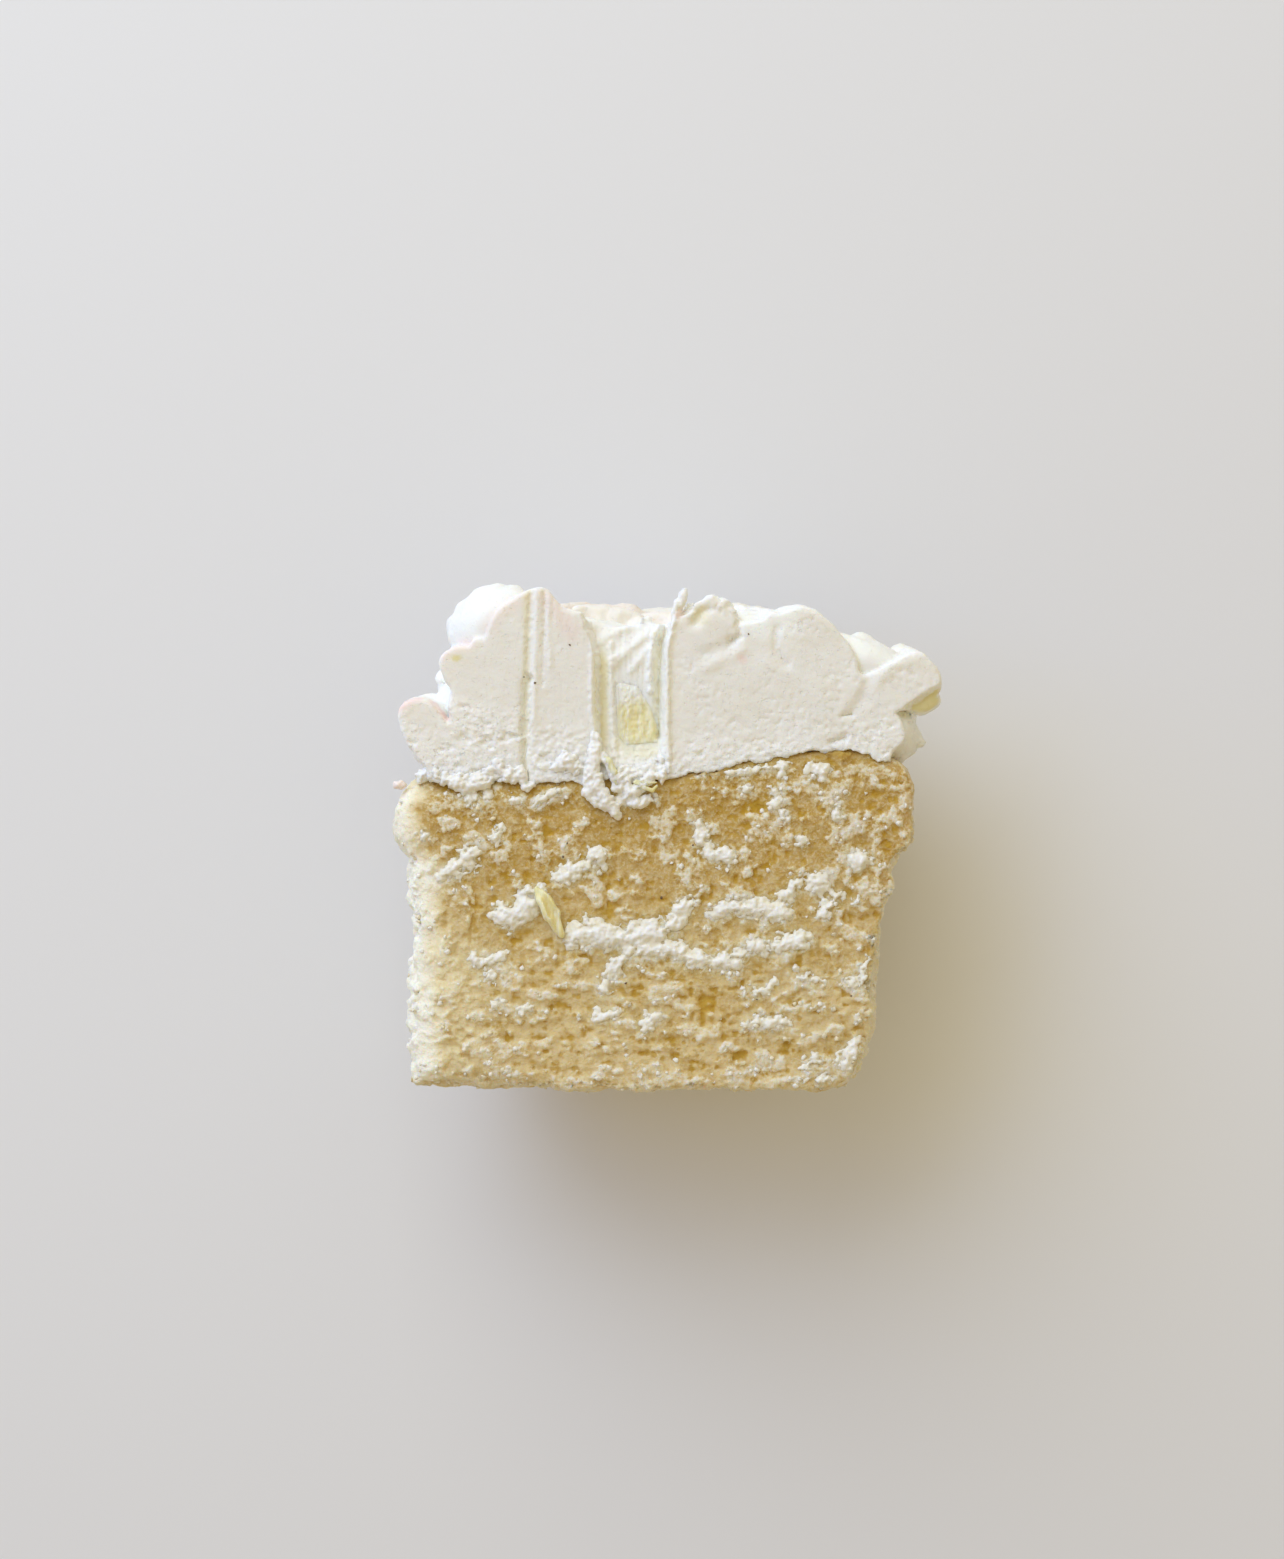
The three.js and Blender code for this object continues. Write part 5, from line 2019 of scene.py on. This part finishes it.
@dataclass
class Crumbs:
    """Loose crumbs on the sponge, and dark specks on both cut faces."""

    lie: Lie
    origin: Array
    sponge: Sponge
    icing: Buttercream
    crumb: Thing  # the piece that carries the crumbs

    SPECKS_ON_ICING = ((-13.2, 44.2), (-14.4, 44.9), (-9.4, 48.4), (10.3, 49.6))
    SPECKS_ON_SPONGE = (
        (0.7, 20.6), (11.2, 9.4), (21.6, 9.8), (-3.2, 11.2), (-9.7, 26.6), (-10.1, 25.1), (4.2, 26.4),
    )

    def carrier(self) -> Thing:
        """Copies the sponge, with how many crumbs each of its places carries.

        Returns:
            The copy.
        """
        mesh = self.crumb.data.copy()
        count = len(mesh.vertices)
        pale, torn, crust = (np.empty(count, np.float32) for _ in range(3))
        for title, values in (("pale", pale), ("torn", torn), ("crust", crust)):
            mesh.attributes[title].data.foreach_get("value", values)
        places = np.empty(count * 3, np.float32)
        mesh.vertices.foreach_get("co", places)
        spots = places.reshape(-1, 3) / MILLIMETRE - self.origin
        height = self.lie.standing(spots).height
        open_air = ease(35.2, 34.2, height) * ease(0.8, 2, spots[:, 2])
        weight = (0.02 + pale**2) * open_air * (1.0 - crust) * (1.0 - 0.8 * torn)
        tint = mesh.attributes.new("crumbs", "FLOAT", "POINT")
        tint.data.foreach_set("value", weight.astype(np.float32))
        return placed("crumb_carrier", mesh)

    def speck_carrier(self) -> Thing:
        """Makes one point for each speck.

        Returns:
            The object with the points.
        """
        places = []
        for owner, spots in ((self.icing, self.SPECKS_ON_ICING), (self.sponge, self.SPECKS_ON_SPONGE)):
            levels = self.lie.cut + owner.face.read(owner.relief, np.array(spots))
            places += [(*spot, level) for spot, level in zip(spots, levels)]
        mesh = bpy.data.meshes.new("speck_carrier")
        mesh.from_pydata(((np.array(places) + self.origin) * MILLIMETRE).tolist(), [], [])
        return placed("speck_carrier", mesh)

    def build(self) -> None:
        """Makes the crumbs and the specks."""
        crumbs = Grains("loose_crumbs", "sponge_crumb", Grow.FACES, 0.2, 0.6, 0.8e6)
        specks = Grains("vanilla_specks", "sponge_crumb", Grow.POINTS, 0.18, 0.28)
        crumbs.scatter(self.carrier(), LooseCrumbFinish().material())
        specks.scatter(self.speck_carrier(), SpeckFinish().material())


@dataclass(frozen=True)
class Studio:
    """A plain pale table, soft light from the upper left and a camera straight above."""

    cut: float  # the cut face's height
    aim: Point = (-2.69, 6.19)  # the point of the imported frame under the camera
    distance: float = 320.0  # from the camera to the cut face
    frame_height: float = 171.5  # what the camera sees along the cut face
    film: float = 36.0
    table: Colour = (0.80, 0.795, 0.785)
    table_half: float = 2.0  # metres
    glow: float = 0.56

    def camera(self) -> None:
        """Sets the camera straight above the cut face."""
        data = bpy.data.cameras.new("Camera")
        data.sensor_fit = "VERTICAL"
        data.sensor_height = self.film
        data.lens = self.film * self.distance / self.frame_height
        data.clip_start, data.clip_end = 0.01, 10.0
        made = placed("Camera", data)
        made.location = [MILLIMETRE * size for size in (*self.aim, self.cut + self.distance)]
        bpy.context.scene.camera = made

    def floor(self) -> None:
        """Lays the table under the cupcake."""
        mesh = bpy.data.meshes.new("table")
        half = self.table_half
        corners = [(-half, -half, 0), (half, -half, 0), (half, half, 0), (-half, half, 0)]
        mesh.from_pydata(corners, [], [(0, 1, 2, 3)])
        dress = Dresser("Pale table")
        dress.wear(self.table, (0.55, 0.2))
        mesh.materials.append(dress.made)
        placed("table", mesh)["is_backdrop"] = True

    def lamp(self, name: str, place: Colour, size: float, power: float, colour: Colour) -> None:
        """Hangs a soft square lamp that faces the cupcake.

        Args:
            name: The lamp's name.
            place: Where it hangs, in metres.
            size: The length of its sides, in metres.
            power: Its power, in watts.
            colour: Its colour.
        """
        data = bpy.data.lights.new(name, "AREA")
        data.shape, data.size, data.energy, data.color = "SQUARE", size, power, colour
        made = placed(name, data)
        made.location = place
        reach = math.hypot(place[0], place[1])
        made.rotation_euler = (0.0, math.atan2(reach, place[2]), math.atan2(place[1], place[0]))
        made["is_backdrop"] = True

    def build(self) -> None:
        """Sets up the camera, the table and the light."""
        self.camera()
        self.floor()
        self.lamp("window", (-0.25, 0.5, 0.4), 0.6, 2.8, (0.94, 1.0, 0.98))
        self.lamp("sky", (-1.0, 0.75, 0.85), 1.5, 11.8, (0.09, 0.31, 1.0))
        world = bpy.data.worlds.new("Room")
        world.use_nodes = True
        back = world.node_tree.nodes["Background"]
        back.inputs["Color"].default_value = (1.0, 0.866, 0.6, 1.0)
        back.inputs["Strength"].default_value = self.glow
        bpy.context.scene.world = world
        bpy.context.scene.view_settings.view_transform = "Standard"


def corners() -> list[list[float]]:
    """The lowest and highest corner of what is shown, as plain numbers."""
    return [[float(number) for number in corner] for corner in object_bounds()]


def main() -> None:
    """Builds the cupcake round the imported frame."""
    logging.basicConfig(level=logging.INFO, format="%(name)s: %(message)s")
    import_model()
    lie = Lie()
    origin = lie.origin()
    Studio(lie.cut).build()
    bodies = Bodies()
    sponge = Sponge(lie, bodies, origin)
    crumb = sponge.build()
    icing = Buttercream(lie, bodies, origin)
    icing.build()
    YellowCore(lie, origin, icing).build()
    KnifeMarks(lie, origin, sponge).build()
    Crumbs(lie, origin, sponge, icing, crumb).build()


if __name__ == "__main__":
    main()
